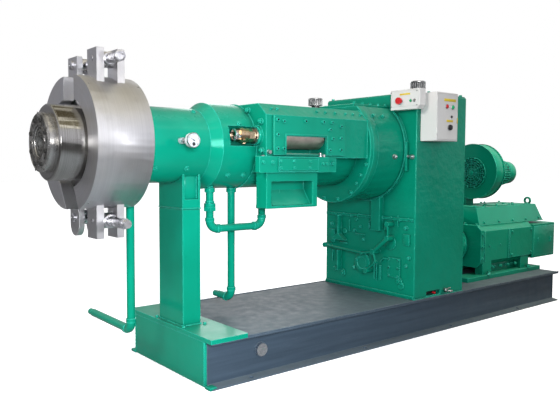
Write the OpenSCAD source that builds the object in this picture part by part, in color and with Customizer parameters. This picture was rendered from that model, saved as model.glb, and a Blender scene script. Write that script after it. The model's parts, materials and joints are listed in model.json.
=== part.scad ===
// Hot feed rubber extruder on a welded base: split clamp head, barrel on a post,
// side feed roll housing, gear case, and a drive motor with its cooling blower.
// Frame: +X from the die to the motor, +Z up, origin under the middle of the base.

/* [Base frame] */
// Length of the base beams
base_l = 3180; // [3000:10:3600]
// Width over the base beams
base_w = 820; // [780:10:900]
// Height of the base beams
beam_h = 220; // [200:5:260]
// Width of a beam flange
flange_w = 110; // [100:2:120]
// Flange thickness at its outer edge
flange_tip_t = 8; // [6:0.5:10]
// Flange thickness beside the web
flange_root_t = 15; // [12:0.5:18]
// Thickness of the beam web
web_t = 10; // [8:0.5:14]
// Thickness of the deck plate
deck_t = 6; // [4:1:10]
// Thickness of the plates that close the base ends
end_plate_t = 12; // [8:1:16]
// Gap between the floor and the end plates
end_plate_lift = 6; // [2:1:20]
// Flange width of a cross channel
cross_w = 75; // [60:5:100]
// Plate thickness of a cross channel
cross_t = 10; // [8:1:14]
// Distance of the end cross channels from the middle one
cross_pitch = 980; // [700:10:1200]
// Gap round the coped ends of a cross channel
cope_gap = 2; // [0.5:0.5:5]
// Diameter of the lifting bar through the webs
lift_bar_d = 64; // [40:2:70]
// How far the lifting bar stands out of each web
lift_bar_out = 18; // [8:1:30]
// Distance of the lifting bar from the front end
lift_bar_at = 312; // [260:2:400]
// Height of the lifting bar
lift_bar_z = 131; // [100:1:150]
// Diameter of an anchor hole in the bottom flange
anchor_hole_d = 22; // [18:1:26]
// Distance of the first anchor hole from the front end
anchor_first = 240; // [150:5:260]
// Distance between anchor holes
anchor_pitch = 800; // [700:10:880]
// Number of anchor holes on each beam
anchor_n = 4; // [3:1:4]
// Distance of an anchor hole from the flange edge
anchor_edge = 25; // [22:1:28]

/* [Post] */
// Length of the foot plate along the base
foot_l = 198; // [160:2:240]
// How far the foot plate stands out past the beams
foot_over = 6; // [0:1:10]
// Thickness of the foot plate
foot_t = 22; // [16:1:30]
// Width of the post across the machine
post_w = 244; // [200:2:280]
// Depth of the post along the machine
post_d = 102; // [80:2:120]
// Distance of the post from the front end
post_at = 12; // [8:1:40]
// Height of the post top above the floor
post_top = 828; // [760:2:860]
// Plate thickness of the saddle
saddle_t = 12; // [8:1:16]
// Height of the closed part of the saddle
saddle_box_h = 46; // [30:1:60]

/* [Barrel] */
// Height of the screw axis above the floor
axis_z = 1143; // [1120:1:1180]
// Diameter of the front barrel section
barrel_d = 376; // [350:2:390]
// Diameter of the rear barrel section
jacket_d = 444; // [430:2:450]
// Station of the step between the sections
step_at = 135; // [125:1:160]
// Length of the conical step
step_l = 52; // [30:1:70]
// Bore of the barrel where the die takes the rubber
barrel_bore = 200; // [150:2:220]

/* [Dial thermometer] */
// Station of the thermometer on the front barrel section
dial_at = -35; // [-60:1:-20]
// Height of the thermometer above the screw axis
dial_up = 17; // [0:1:40]
// Diameter of the dial
dial_d = 68; // [50:1:80]
// Thickness of the dial
dial_t = 18; // [12:1:26]
// Diameter of the stem
dial_stem_d = 12; // [8:1:16]
// Length of the stem
dial_stem_l = 70; // [50:1:90]
// Diameter of the boss on the barrel
dial_boss_d = 30; // [24:1:36]
// How far the boss stands out of the barrel
dial_boss_out = 25; // [15:1:30]

/* [Clamp head] */
// Outer diameter of the clamp ring
ring_d = 614; // [590:2:640]
// Width of the clamp ring
ring_w = 260; // [240:2:280]
// Distance from the front of the base to the back of the ring
ring_back = 234; // [220:1:260]
// Diameter of the opening in the lips of the ring
lip_d = 396; // [386:2:410]
// How far the far ring half stands open
ring_open = 78; // [60:1:100]
// Distance of the near half's upper end from the centre
near_end = 41; // [30:1:50]
// Distance of the near half's lower end from the centre
near_end_low = 22; // [15:1:30]
// Distance of the far half's upper end from its centre
far_end = 6; // [0:1:15]
// Distance of the far half's lower end from its centre
far_end_low = 68; // [50:1:80]
// Lean of the lower split in degrees
split_lean = 31; // [20:1:35]
// Diameter of the clamped flanges
wedge_d = 490; // [470:2:500]
// Rim width of one clamped flange
wedge_rim = 70; // [50:1:80]
// Slope of the clamped faces in degrees
wedge_slope = 15; // [10:1:20]
// Gap between the flange rims and the bottom of the groove
ring_play = 3; // [2:0.5:5]
// Diameter of the die body
die_d = 342; // [320:2:350]
// How far the die body stands out of the ring
die_out = 113; // [90:1:140]
// Edge chamfer of the die body and the nose
die_edge = 7; // [3:1:10]
// Length of the taper from the chamber to the outlet
chamber_l = 60; // [40:5:80]
// Diameter of the nose
nose_d = 266; // [240:2:280]
// How far the nose stands out of the die body
nose_out = 33; // [20:1:50]
// Diameter of the outlet bore
outlet_d = 84; // [60:2:100]
// Diameter of the recess round the outlet
recess_d = 148; // [120:2:160]
// Depth of the recess round the outlet
recess_h = 12; // [6:1:20]
// Pitch circle of the die plate holes
die_pcd = 206; // [190:2:220]
// Diameter of a die plate hole
die_hole_d = 17; // [13:1:21]
// Depth of a die plate hole
die_hole_h = 28; // [20:1:31]
// Number of die plate holes
die_holes = 8; // [6:1:10]

/* [Clamp screws] */
// Thickness of a lug on the near ring half
lug_t = 35; // [25:1:38]
// Width of a near lug across the machine
lug_w = 105; // [90:1:115]
// Height of the upper near lugs above the ring
lug_up = 113; // [100:1:130]
// Height of the lower near lugs below the ring
lug_down = 125; // [110:1:140]
// Clear gap between the near lugs
lug_gap = 62; // [56:1:70]
// Depth of a lug below the outside of the ring
lug_root = 52; // [40:1:55]
// Thickness of an ear on the far ring half
ear_t = 28; // [20:1:34]
// Width of an ear across the machine
ear_w = 113; // [90:1:120]
// Height of the upper ears above the ring
ear_up = 106; // [95:1:120]
// Height of the lower ears below the ring
ear_down = 136; // [120:1:150]
// Clear gap between the ears
ear_gap = 52; // [46:1:60]
// Distance of the ears from the far half's centre
ear_set = 34; // [25:1:40]
// Height of the upper screw above the ring
screw_up = 68; // [60:1:76]
// Depth of the lower screw below the ring
screw_down = 47; // [44:1:56]
// Diameter of the clamp screws
screw_d = 36; // [28:1:40]
// Diameter of the screw eye
eye_d = 72; // [60:1:84]
// Clearance of the screw eye between the ears
eye_play = 4; // [2:1:8]
// Diameter of the hinge pin
hinge_pin_d = 30; // [20:1:34]
// Diameter of a hinge pin head
pin_head_d = 44; // [36:1:50]
// Thickness of a hinge pin head
pin_head_t = 10; // [6:1:16]
// Diameter of the trunnion between the near lugs
trunnion_d = 72; // [60:1:80]
// Distance between the flats of the trunnion
trunnion_flat = 60; // [50:1:66]
// Diameter of the trunnion journals
trunnion_pin_d = 36; // [28:1:44]
// Depth of a trunnion journal in its lug
trunnion_pin_h = 18; // [12:1:24]
// Diameter of the long round nut
nut_d = 48; // [42:1:60]
// Length of the upper nut
nut_up_l = 124; // [90:2:150]
// Length of the lower nut
nut_down_l = 172; // [120:2:200]
// Diameter of the nut collar
collar_d = 60; // [54:1:70]
// Thickness of the nut collar
collar_t = 16; // [10:1:24]
// Size across the flats of the socket in the upper nut
nut_socket = 22; // [17:1:27]
// Depth of the socket in the upper nut
socket_h = 20; // [12:1:30]
// Thread length past the lower nut
thread_out = 28; // [10:1:40]

/* [Feed housing] */
// Station of the front face of the housing
box_at = 392; // [385:1:410]
// Half width of the housing
box_half = 300; // [290:1:305]
// Height of the lower edge of the front flange
box_low = 1008; // [990:1:1020]
// Length of the front flange of the housing
band_l = 490; // [480:5:520]
// Height of the lower edge of the housing behind that flange
ledge_z = 1086; // [1075:1:1092]
// Height of the shoulder where the slope starts
box_shoulder = 1302; // [1290:1:1320]
// Height of the housing top
box_top = 1362; // [1350:1:1375]
// Half width of the housing top
box_top_half = 230; // [220:1:240]
// Thickness of the side cover
cover_t = 15; // [10:1:20]
// Distance of the side cover from the housing front
cover_set = 38; // [30:1:50]
// Length of the side cover
cover_l = 507; // [490:1:540]
// Height of the lower edge of the side cover
cover_low = 1096; // [1092:1:1098]
// Distance from the housing front to the feed window
window_at = 119; // [110:1:130]
// Length of the feed window
window_l = 285; // [280:1:300]
// Height of the lower edge of the window
window_low = 1101; // [1100:1:1106]
// Height of the upper edge of the window
window_top = 1200; // [1196:1:1210]
// Depth of the feed window behind the roll axis
window_depth = 60; // [50:1:62]
// Diameter of the feed roll
roll_d = 130; // [120:1:136]
// Distance of the feed roll axis from the centre plane
roll_y = 225; // [222:1:228]
// Height of the feed roll axis
roll_z = 1196; // [1190:1:1200]
// Running gap round the feed roll
roll_gap = 7; // [5:0.5:10]
// How far the feed roll reaches past each window end
roll_over = 5; // [2:1:8]
// Diameter of the feed roll journals
journal_d = 50; // [40:1:56]
// Length of a feed roll journal
journal_l = 70; // [50:1:90]
// Gap behind the end of a journal
journal_end = 6; // [4:1:10]
// Radial clearance in the roll bearings
bearing_play = 0.05; // [0.02:0.01:0.1]
// Diameter of the bearing boss on the housing front
boss_d = 100; // [90:1:110]
// How far the bearing boss stands out
boss_out = 20; // [10:1:30]
// Clearance round the boss in the barrel pocket
pocket_gap = 4; // [2:1:8]
// Length of the barrel pocket
pocket_l = 165; // [150:5:190]
// Length of the sill plate
sill_l = 470; // [460:1:480]
// Thickness of the sill plate
sill_t = 35; // [20:1:40]
// Height of the sill plate
sill_h = 82; // [70:1:84]
// How far the sill reaches in front of the housing
sill_ahead = 68; // [40:1:76]
// Distance of the access panel from the front of the sill
panel_at = 117; // [100:1:130]
// Length of the access panel on the sill
panel_l = 269; // [240:1:280]
// Height of the access panel on the sill
panel_h = 60; // [50:1:66]
// Thickness of the access panel
panel_t = 8; // [5:1:10]
// Length of the discharge chute
chute_l = 346; // [330:1:360]
// Height of the discharge chute
chute_h = 184; // [175:1:200]
// Depth of the discharge chute
chute_d = 90; // [80:1:110]
// How far the chute reaches in front of the housing
chute_ahead = 8; // [0:1:20]
// Wall thickness of the discharge chute
chute_wall = 34; // [20:1:40]
// Thickness of the chute back and floor
chute_back = 14; // [10:1:20]
// Height of the chute wall above its mouth
chute_lintel = 46; // [30:1:60]
// Level part of the chute floor at its mouth
chute_floor = 20; // [10:1:30]
// Diameter of the union body on the roll
union_d = 70; // [60:1:76]
// Length of the rotary union
union_l = 125; // [100:1:140]
// Length of the neck of the union at the boss
union_neck_l = 15; // [10:1:20]
// Length of the hexagon of the union
union_hex_l = 37; // [30:1:42]
// Size of the square hose block on the union
union_block = 46; // [36:1:50]
// Diameter of the breather on the housing
breather_d = 76; // [60:1:84]
// Height of the breather on the housing
breather_h = 66; // [50:1:80]
// Distance of the breather from the housing front
breather_at = 513; // [480:1:560]
// Distance of the breather from the centre plane
breather_y = 100; // [60:1:140]

/* [Neck] */
// Station of the front neck flange
neck_at = 1132; // [1125:1:1140]
// Diameter of the neck flanges
neck_flange_d = 650; // [640:2:660]
// Thickness of the front neck flange
neck_flange_t = 71; // [50:1:80]
// Diameter of the neck
neck_d = 630; // [600:2:636]
// Thickness of the rear neck flange
rear_flange_t = 18; // [12:1:26]
// Height of the flat on top of the neck
neck_top = 1395; // [1380:1:1410]
// Width of the cover on the neck
neck_cover_w = 350; // [300:2:370]
// Thickness of the cover on the neck
neck_cover_t = 17; // [10:1:24]
// Margin of the neck cover at each end
neck_cover_end = 10; // [5:1:30]

/* [Gear case] */
// Station of the front face of the gear case
case_at = 1460; // [1430:1:1490]
// Length of the gear case
case_l = 493; // [470:1:510]
// Width of the gear case
case_w = 780; // [740:2:790]
// Height of the gear case top above the floor
case_top = 1483; // [1478:1:1500]
// Height of the seam band on the front face
seam_z = 714; // [690:1:740]
// Height of the seam band
seam_h = 16; // [10:1:24]
// How far the seam band and the low ribs stand out
seam_out = 10; // [6:1:14]
// How far the column and the tall ribs stand out
rib_out = 36; // [24:1:40]
// Thickness of the ribs
rib_t = 12; // [8:1:18]
// Width of the column under the neck
column_w = 74; // [60:1:90]
// Distance of the column from the centre plane
column_y = 97; // [80:1:110]
// Height of the column foot
column_low = 631; // [610:1:650]
// Distance of the flared rib from the centre plane
flare_y = 243; // [230:1:260]
// Height of the foot of the flared rib
flare_low = 540; // [525:1:550]
// Half width of the foot of the flared rib
flare_half = 60; // [40:1:70]
// Height of the flare at the foot of the rib
flare_h = 42; // [30:1:50]
// Height of the top of the rib below the flared one
low_rib_top = 469; // [450:1:478]
// Distance of the first short rib from the centre plane
short_rib_y = 67; // [62:1:72]
// Distance between the short ribs
short_rib_gap = 48; // [44:1:56]
// Height of a short rib
short_rib_h = 91; // [70:1:100]
// Distance of the foot of a short rib below the inspection pad
short_rib_drop = 30; // [20:1:40]
// Height of the inspection pad
pad_h = 122; // [110:1:140]
// Width of the inspection pad
pad_w = 95; // [80:1:110]
// Height of the lower edge of the inspection pad
pad_z = 346; // [330:1:360]
// Distance of the inspection pad from the centre plane
pad_y = 188; // [180:1:200]
// Diameter of the thick part of the oil pipe
oil_pipe_d = 26; // [20:1:30]
// Diameter of the thin oil pipes
oil_line_d = 14; // [10:1:16]
// Distance of the oil pipes from the front face
oil_out = 50; // [46:1:60]
// Distance of the oil pipe fork from the centre plane
oil_fork_y = 98; // [80:1:105]
// Height of the oil pipe fork
oil_fork_z = 496; // [480:1:505]
// Distance of the oil pipe tee from the centre plane
oil_tee_y = 217; // [190:1:240]
// Height of the oil pipe tee
oil_tee_z = 591; // [560:1:610]
// Distance of the lower end of the oil pipe from the centre plane
oil_low_y = 40; // [20:1:44]
// Height of the lower end of the oil pipe
oil_low_z = 368; // [350:1:390]
// Distance of the far end of the oil pipe from the case side
oil_end_in = 45; // [30:1:60]
// How far the oil pipe sags between its ends
oil_sag = 20; // [5:1:30]
// Distance of the recess in the side from the front face
slot_at = 126; // [110:1:150]
// Length of the recess in the side
slot_l = 130; // [100:1:160]
// Height of the recess in the side
slot_h = 26; // [20:1:40]
// Depth of the recess in the side
slot_depth = 30; // [20:1:40]
// Height of the recess above the deck
slot_up = 11; // [6:1:20]
// Diameter of the breather on the gear case
case_breather_d = 92; // [70:1:110]
// Height of the breather on the gear case
case_breather_h = 110; // [80:1:130]
// Distance of the breather from the front face
case_breather_at = 303; // [260:1:340]
// Distance of the breather from the centre plane
case_breather_y = 150; // [100:1:200]

/* [Control boxes] */
// Width of the side control box
side_box_w = 206; // [180:1:240]
// Depth of the side control box
side_box_d = 116; // [90:1:140]
// Height of the side control box
side_box_h = 288; // [260:1:320]
// Distance of the side control box from the front face
side_box_at = 36; // [20:1:60]
// Distance of the side control box below the case top
side_box_drop = 3; // [0:1:20]
// Width of the front control box
front_box_w = 224; // [200:1:236]
// Depth of the front control box
front_box_d = 50; // [40:1:70]
// Height of the front control box
front_box_h = 120; // [100:1:124]
// How far the front control box stands above the case
front_box_rise = 17; // [0:1:30]
// Clearance of the front control box from the neck
front_box_gap = 5; // [3:1:15]
// Cut corner of the front control box
front_box_cut = 20; // [10:1:30]
// How far a box door stands proud
door_t = 3; // [2:0.5:5]
// Edge of a box round its door
door_edge = 8; // [5:1:14]
// Diameter of the stop button head
stop_d = 40; // [30:1:50]
// Height of the stop button
stop_h = 28; // [20:1:36]
// Distance of the stop button from the edge at the neck
stop_at = 81; // [60:1:110]
// Height of the stop button above the lower edge of its box
stop_up = 52; // [40:1:70]

/* [Drive] */
// Height of the motor shaft above the floor
motor_z = 462; // [450:1:480]
// Diameter of the coupling guard
guard_d = 270; // [220:2:300]
// Diameter of the guard flange at the gear case
guard_flange_d = 320; // [290:2:340]
// Thickness of the guard flange
guard_flange_t = 24; // [16:1:30]
// Station of the front of the motor
motor_at = 2380; // [2360:1:2400]
// Length of the motor frame
motor_l = 700; // [670:2:720]
// Width of the motor frame
motor_w = 470; // [450:2:480]
// Height of the motor frame
motor_h = 290; // [280:2:300]
// Chamfer of the motor frame
motor_edge = 36; // [24:1:44]
// Length of the end shield of the motor
shield_l = 38; // [24:1:60]
// How far the end shield stands proud of the frame
shield_out = 8; // [4:1:12]
// Distance of the raised side panel from the front of the motor
side_panel_at = 385; // [360:1:400]
// How far the side panel stands proud
side_panel_t = 6; // [3:1:10]
// Width of a motor foot across the machine
motor_foot_w = 64; // [50:1:80]
// Length of a motor foot
motor_foot_l = 110; // [90:1:130]
// Distance of the motor feet from the ends of the frame
motor_foot_at = 40; // [30:1:60]
// Length of the box at the back of the motor
end_box_l = 335; // [300:1:345]
// Width of the box at the back of the motor
end_box_w = 490; // [480:2:500]
// Height of the lower edge of that box
end_box_z = 320; // [305:1:330]
// Height of the box at the back of the motor
end_box_h = 267; // [250:1:280]
// Height of the cover on the motor
top_cover_h = 130; // [110:1:140]
// Distance of the cover from the front of the motor
top_cover_at = 50; // [40:1:80]
// Length of the cover on the motor
top_cover_l = 890; // [860:5:910]
// Width of the top face of the cover
top_cover_w = 300; // [280:2:310]
// Slope of the sides of the cover
cover_slope = 44; // [30:1:50]
// Outer diameter of the lifting eye
eye_ring_d = 62; // [50:1:70]
// Bore of the lifting eye
eye_bore_d = 32; // [24:1:40]
// Depth of the lifting eye in the cover
eye_sunk = 6; // [4:1:8]
// Thickness of the lifting eye
eye_ring_t = 16; // [12:1:20]
// Distance of the lifting eye from the front of the motor
lift_eye_at = 860; // [840:1:872]
// Distance of the lifting eye from the centre plane
lift_eye_y = 100; // [60:1:120]
// Thickness of the motor sub-base
sub_base_t = 30; // [20:1:36]
// Width of the motor sub-base
sub_base_w = 520; // [500:2:540]
// Width of one sub-base rail
sub_rail_w = 130; // [110:2:150]
// Distance of the sub-base from the gear case
sub_base_at = 250; // [200:5:280]
// Distance of the sub-base from the rear end
sub_base_end = 4; // [0:1:20]
// Distance of the blower from the front of the motor
blower_at = 230; // [215:1:250]
// Outer diameter of the blower scroll
scroll_d = 412; // [390:2:420]
// Width of the blower scroll
scroll_w = 112; // [90:1:130]
// Height of the scroll centre above the floor
blower_z = 1000; // [980:1:1020]
// Depth of the fan axis below the scroll centre
fan_drop = 12; // [6:1:20]
// Diameter of the blower inlet
inlet_d = 208; // [180:2:220]
// Outer diameter of the ring round the inlet
inlet_ring_d = 240; // [230:2:260]
// Thickness of the ring round the inlet
inlet_ring_t = 10; // [6:1:16]
// Depth of the blower inlet
inlet_depth = 50; // [30:1:70]
// Distance of the near side of the duct from the centre plane
duct_y = 55; // [40:1:70]
// Width of the duct where it lands on the cover
duct_foot_w = 90; // [70:1:92]
// Margin of the duct inside the scroll faces
duct_edge = 6; // [3:1:12]
// Height of the duct foot
duct_foot_h = 36; // [20:1:50]
// Diameter of the blower motor
fan_motor_d = 164; // [140:2:176]
// Length of the blower motor
fan_motor_l = 290; // [260:2:310]
// Diameter of the flange of the blower motor
fan_flange_d = 194; // [180:2:204]
// Thickness of the flange of the blower motor
fan_flange_t = 18; // [12:1:24]
// Diameter of the fan cap on the blower motor
fan_cap_d = 178; // [176:2:190]
// Length of the fan cap on the blower motor
fan_cap_l = 70; // [50:1:90]

/* [Pipes] */
// Outer diameter of the cooling water pipes
pipe_d = 40; // [32:1:46]
// Bend radius of the pipes
pipe_bend = 46; // [40:1:60]
// Diameter of a pipe union
pipe_union_d = 60; // [50:1:66]
// Length of a pipe union
pipe_union_l = 34; // [24:1:44]
// Diameter of the plain spigot at a pipe end
spigot_d = 34; // [28:1:36]
// Length of the plain spigot at a pipe end
spigot_l = 40; // [30:1:50]
// Station of the front pipe
front_pipe_at = -208; // [-220:1:-200]
// Length of the front pipe stub
stub_front = 500; // [300:5:520]
// Length of the rear pipe stub
stub_rear = 160; // [150:5:320]
// Height of the front pipe stub
stub_front_z = 236; // [230:1:280]
// Height of the rear pipe stub
stub_rear_z = 320; // [300:1:360]
// Distance of the rear pipe in front of the housing
rear_pipe_ahead = 8; // [4:1:20]
// Height of the crossover pipe
cross_pipe_z = 712; // [690:1:760]
// Distance of the crossover pipe from the centre plane
cross_pipe_y = 56; // [52:1:80]
// Distance of the crossover's first leg from the step
cross_pipe_at = 76; // [70:1:90]
// Distance of the crossover's second leg from the housing front
cross_pipe_end = 158; // [140:1:170]
// Height of the unions above the crossover
cross_union_up = 100; // [90:1:140]

/* [Hidden] */
$fn = 96;
// Gap between curved faces that seat on each other
seat = 0.3;
// Size of an oil pipe elbow against its pipe
elbow = 1.3;
// Stem and foot of a breather against its cap, and the share of its height they take
breather_stem = 0.6;
breather_foot = 0.8;
breather_foot_h = 0.22;
breather_cap_h = 0.62;
// Height of the deck surface
deck_z = beam_h + deck_t;
// Centre plane of each web
web_y = base_w / 2 - flange_w / 2;
// Height of the foot plate surface
foot_z = beam_h + foot_t;
// Radii used again and again
barrel_r = barrel_d / 2;
jacket_r = jacket_d / 2;
ring_r = ring_d / 2;
wedge_r = wedge_d / 2;
// Stations of the ring faces and of the joint inside it
ring_x1 = -ring_back;
ring_x0 = ring_x1 - ring_w;
ring_mid = (ring_x0 + ring_x1) / 2;
lip_r = lip_d / 2;
die_x0 = ring_x0 - die_out;
nose_x0 = die_x0 - nose_out;
// Half the span of the near lugs and of the ears along the machine
lug_half = lug_gap / 2 + lug_t;
ear_half = ear_gap / 2 + ear_t;
// Window and roll stations
window_x0 = box_at + window_at;
window_x1 = window_x0 + window_l;
cover_y = box_half + cover_t;
roll_l = window_l + 2 * roll_over;
roll_x0 = window_x0 - roll_over;
cavity_x0 = roll_x0 - roll_gap;
cavity_x1 = roll_x0 + roll_l + roll_gap;
// Neck, gear case and drive stations
neck_r = neck_flange_d / 2;
case_x1 = case_at + case_l;
// Lower edge of the front control box, and its side at the neck flange
front_box_z = case_top + front_box_rise - front_box_h;
front_box_up = max(0, front_box_z - axis_z);
front_box_y = -sqrt(max(0, neck_r * neck_r - front_box_up * front_box_up)) - front_box_gap;
motor_x1 = motor_at + motor_l;
motor_low = motor_z - motor_h / 2;
motor_top = motor_z + motor_h / 2;
sub_top = deck_z + sub_base_t;

// Position along the machine, measured from the front end of the base beams
function st(x) = x - base_l / 2;

// Places children at a station, on the floor
module at(x, y = 0, z = 0) {
    translate([st(x), y, z]) children();
}

// Cylinder along +X that starts at a station
module rod_x(x, len, d, y = 0, z = axis_z) {
    at(x, y, z) rotate([0, 90, 0]) cylinder(h = len, d = d);
}

// Cylinder along -Y that starts at a depth
module rod_y(x, y, z, len, d) {
    at(x, y, z) rotate([90, 0, 0]) cylinder(h = len, d = d);
}

// Block between two stations, two depths and two heights
module block(x, y, z) {
    translate([st(x[0]), y[0], z[0]]) cube([x[1] - x[0], y[1] - y[0], z[1] - z[0]]);
}

// Solid of revolution about the screw axis; points are [radius, station]
module turned(points) {
    at(0, 0, axis_z) rotate([0, 90, 0]) rotate_extrude() polygon(points);
}

// Cross-section drawn as [y, z] and drawn out along X from a station
module profile_x(x, len, points) {
    at(x) rotate([90, 0, 90]) linear_extrude(len) polygon(points);
}

// Straight pipes through points [y, z] in the plane of a station, with elbows between
module pipe_run(x, d, points) {
    for (i = [0 : len(points) - 2]) {
        p = points[i];
        q = points[i + 1];
        at(x, p[0], p[1]) rotate([-atan2(q[0] - p[0], q[1] - p[1]), 0, 0])
            cylinder(h = norm(q - p), d = d);
        if (i > 0) rod_x(x - elbow * d / 2, elbow * d, elbow * d, p[0], p[1]);
    }
}

// Quarter bend about the origin, in the plane of X and Y
module quarter_bend() {
    rotate_extrude(angle = 90) translate([pipe_bend, 0]) circle(d = pipe_d, $fn = 48);
}

// Rolled beam with tapered flanges, about its own centre plane
module beam_section() {
    w = flange_w / 2;
    t = web_t / 2;
    polygon([[-w, 0], [w, 0], [w, flange_tip_t], [t, flange_root_t],
        [t, beam_h - flange_root_t], [w, beam_h - flange_tip_t], [w, beam_h],
        [-w, beam_h], [-w, beam_h - flange_tip_t], [-t, beam_h - flange_root_t],
        [-t, flange_root_t], [-w, flange_tip_t]]);
}

module base_beam(side) {
    difference() {
        at(0, side * web_y) rotate([90, 0, 90]) linear_extrude(base_l) beam_section();
        for (i = [0 : anchor_n - 1])
            at(anchor_first + i * anchor_pitch, side * (base_w / 2 - anchor_edge), -1)
                cylinder(h = flange_root_t + 2, d = anchor_hole_d);
        rod_y(lift_bar_at, side * web_y + web_t, lift_bar_z, 2 * web_t, lift_bar_d + 2 * seat);
    }
}

module base_beam_near() {
    color("#4d5f6c") base_beam(-1);
}

module base_beam_far() {
    color("#4d5f6c") base_beam(1);
}

// Channels across the base, coped to fit between the flanges of the beams
module base_cross_members() {
    half = web_y - web_t / 2;
    inner = web_y - flange_w / 2;
    cope = flange_root_t + cope_gap;
    color("#4d5f6c")
    for (i = [-1 : 1])
        at(base_l / 2 + i * cross_pitch - cross_w / 2) difference() {
            translate([0, -half, 0]) cube([cross_w, 2 * half, beam_h]);
            translate([cross_t, -half - 1, cross_t])
                cube([cross_w, 2 * half + 2, beam_h - 2 * cross_t]);
            for (y = [-half - 1, inner - cope_gap], z = [-1, beam_h - cope])
                translate([-1, y, z])
                    cube([cross_w + 2, half - inner + cope_gap + 1, cope + 1]);
        }
}

module deck_plate() {
    color("#7b8289")
    block([foot_l, base_l], [-base_w / 2, base_w / 2], [beam_h, deck_z]);
}

module front_end_plate() {
    half = web_y + web_t / 2;
    color("#0b7a5a")
    block([-end_plate_t, 0], [-half, half], [end_plate_lift, beam_h]);
}

module rear_end_plate() {
    half = web_y + web_t / 2;
    color("#4d5f6c")
    block([base_l, base_l + end_plate_t], [-half, half], [end_plate_lift, beam_h]);
}

module lifting_bar() {
    reach = web_y + web_t / 2 + lift_bar_out;
    color("#b9bfc2") rod_y(lift_bar_at, reach, lift_bar_z, 2 * reach, lift_bar_d);
}

module post_foot_plate() {
    half = base_w / 2 + foot_over;
    color("#17b08c")
    block([-end_plate_t, foot_l], [-half, half], [beam_h, foot_z]);
}

module front_post() {
    color("#129c7a")
    block([post_at, post_at + post_d], [-post_w / 2, post_w / 2], [foot_z, post_top]);
}

// Two cradle plates on a short box, with a web between them
module barrel_saddle() {
    x0 = post_at;
    x1 = post_at + post_d;
    half = post_w / 2;
    box_z = post_top + saddle_box_h;
    color("#17b08c")
    difference() {
        union() {
            block([x0, x0 + saddle_t], [-half, half], [post_top, axis_z]);
            block([x1 - saddle_t, x1], [-half, half], [post_top, axis_z]);
            block([x0, x1], [-half, half], [post_top, box_z]);
            block([x0, x1], [-saddle_t / 2, saddle_t / 2], [post_top, axis_z]);
        }
        rod_x(x0 - 1, post_d + 2, barrel_d + 2 * seat);
    }
}

// Front barrel section with its clamped flange inside the ring
module barrel_front() {
    back = wedge_rim + (wedge_r - barrel_r) * tan(wedge_slope);
    color("#0fa182")
    turned([[0, ring_mid], [wedge_r, ring_mid], [wedge_r, ring_mid + wedge_rim],
        [barrel_r, ring_mid + back], [barrel_r, step_at], [0, step_at]]);
}

// Rear barrel section: the conical step, then the jacket with a pocket for the union
module barrel_rear() {
    color("#0fa182")
    difference() {
        turned([[0, step_at], [barrel_r, step_at], [jacket_r, step_at + step_l],
            [jacket_r, box_at], [0, box_at]]);
        rod_x(box_at - pocket_l, pocket_l + 1, boss_d + 2 * pocket_gap, -roll_y, roll_z);
    }
}

// Outline of the clamp ring: the groove wedges both flanges together
module ring_profile() {
    flank = wedge_rim + (wedge_r - lip_r) * tan(wedge_slope) + seat;
    rim = wedge_rim + seat;
    groove_r = wedge_r + ring_play;
    polygon([[ring_r, ring_x0], [ring_r, ring_x1], [lip_r, ring_x1], [lip_r, ring_mid + flank],
        [groove_r, ring_mid + rim], [groove_r, ring_mid - rim], [lip_r, ring_mid - flank],
        [lip_r, ring_x0]]);
}

// Ring cut down to the outline [y, z] that is given about the centre of the ring
module ring_part(outline) {
    intersection() {
        rotate([0, 90, 0]) rotate_extrude() ring_profile();
        translate([ring_x0 - 1, 0, 0]) rotate([90, 0, 90]) linear_extrude(ring_w + 2)
            polygon(outline);
    }
}

// Two plates above or below the ring; up is 1 or -1
module plate_pair(half, t, y, h, up) {
    root = ring_r - lug_root;
    z = up > 0 ? root : -ring_r - h;
    for (x = [ring_mid - half, ring_mid + half - t])
        translate([x, y[0], z]) cube([t, y[1] - y[0], lug_root + h]);
}

module clamp_ring_near() {
    top = ring_r + 1;
    split_y = -near_end_low + lip_r * tan(split_lean);
    upper = [-near_end - lug_w, -near_end];
    lower = [-near_end_low - lug_w, -near_end_low];
    color("#a9adb0")
    translate([st(0), 0, axis_z]) difference() {
        union() {
            ring_part([[-top, top], [-near_end, top], [-near_end, 0], [split_y, 0],
                [split_y - top * tan(split_lean), -top], [-top, -top]]);
            plate_pair(lug_half, lug_t, upper, lug_up, 1);
            plate_pair(lug_half, lug_t, lower, lug_down, -1);
        }
        trunnion_pin(upper, ring_r + screw_up, seat);
        trunnion_pin(lower, -ring_r - screw_down, seat);
    }
}

// Journals of a trunnion between the near lugs, or their bores with play
module trunnion_pin(y, z, play) {
    l = lug_gap + 2 * trunnion_pin_h;
    translate([ring_mid - l / 2, (y[0] + y[1]) / 2, z]) rotate([0, 90, 0])
        cylinder(h = l, d = trunnion_pin_d + 2 * play);
}

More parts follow.
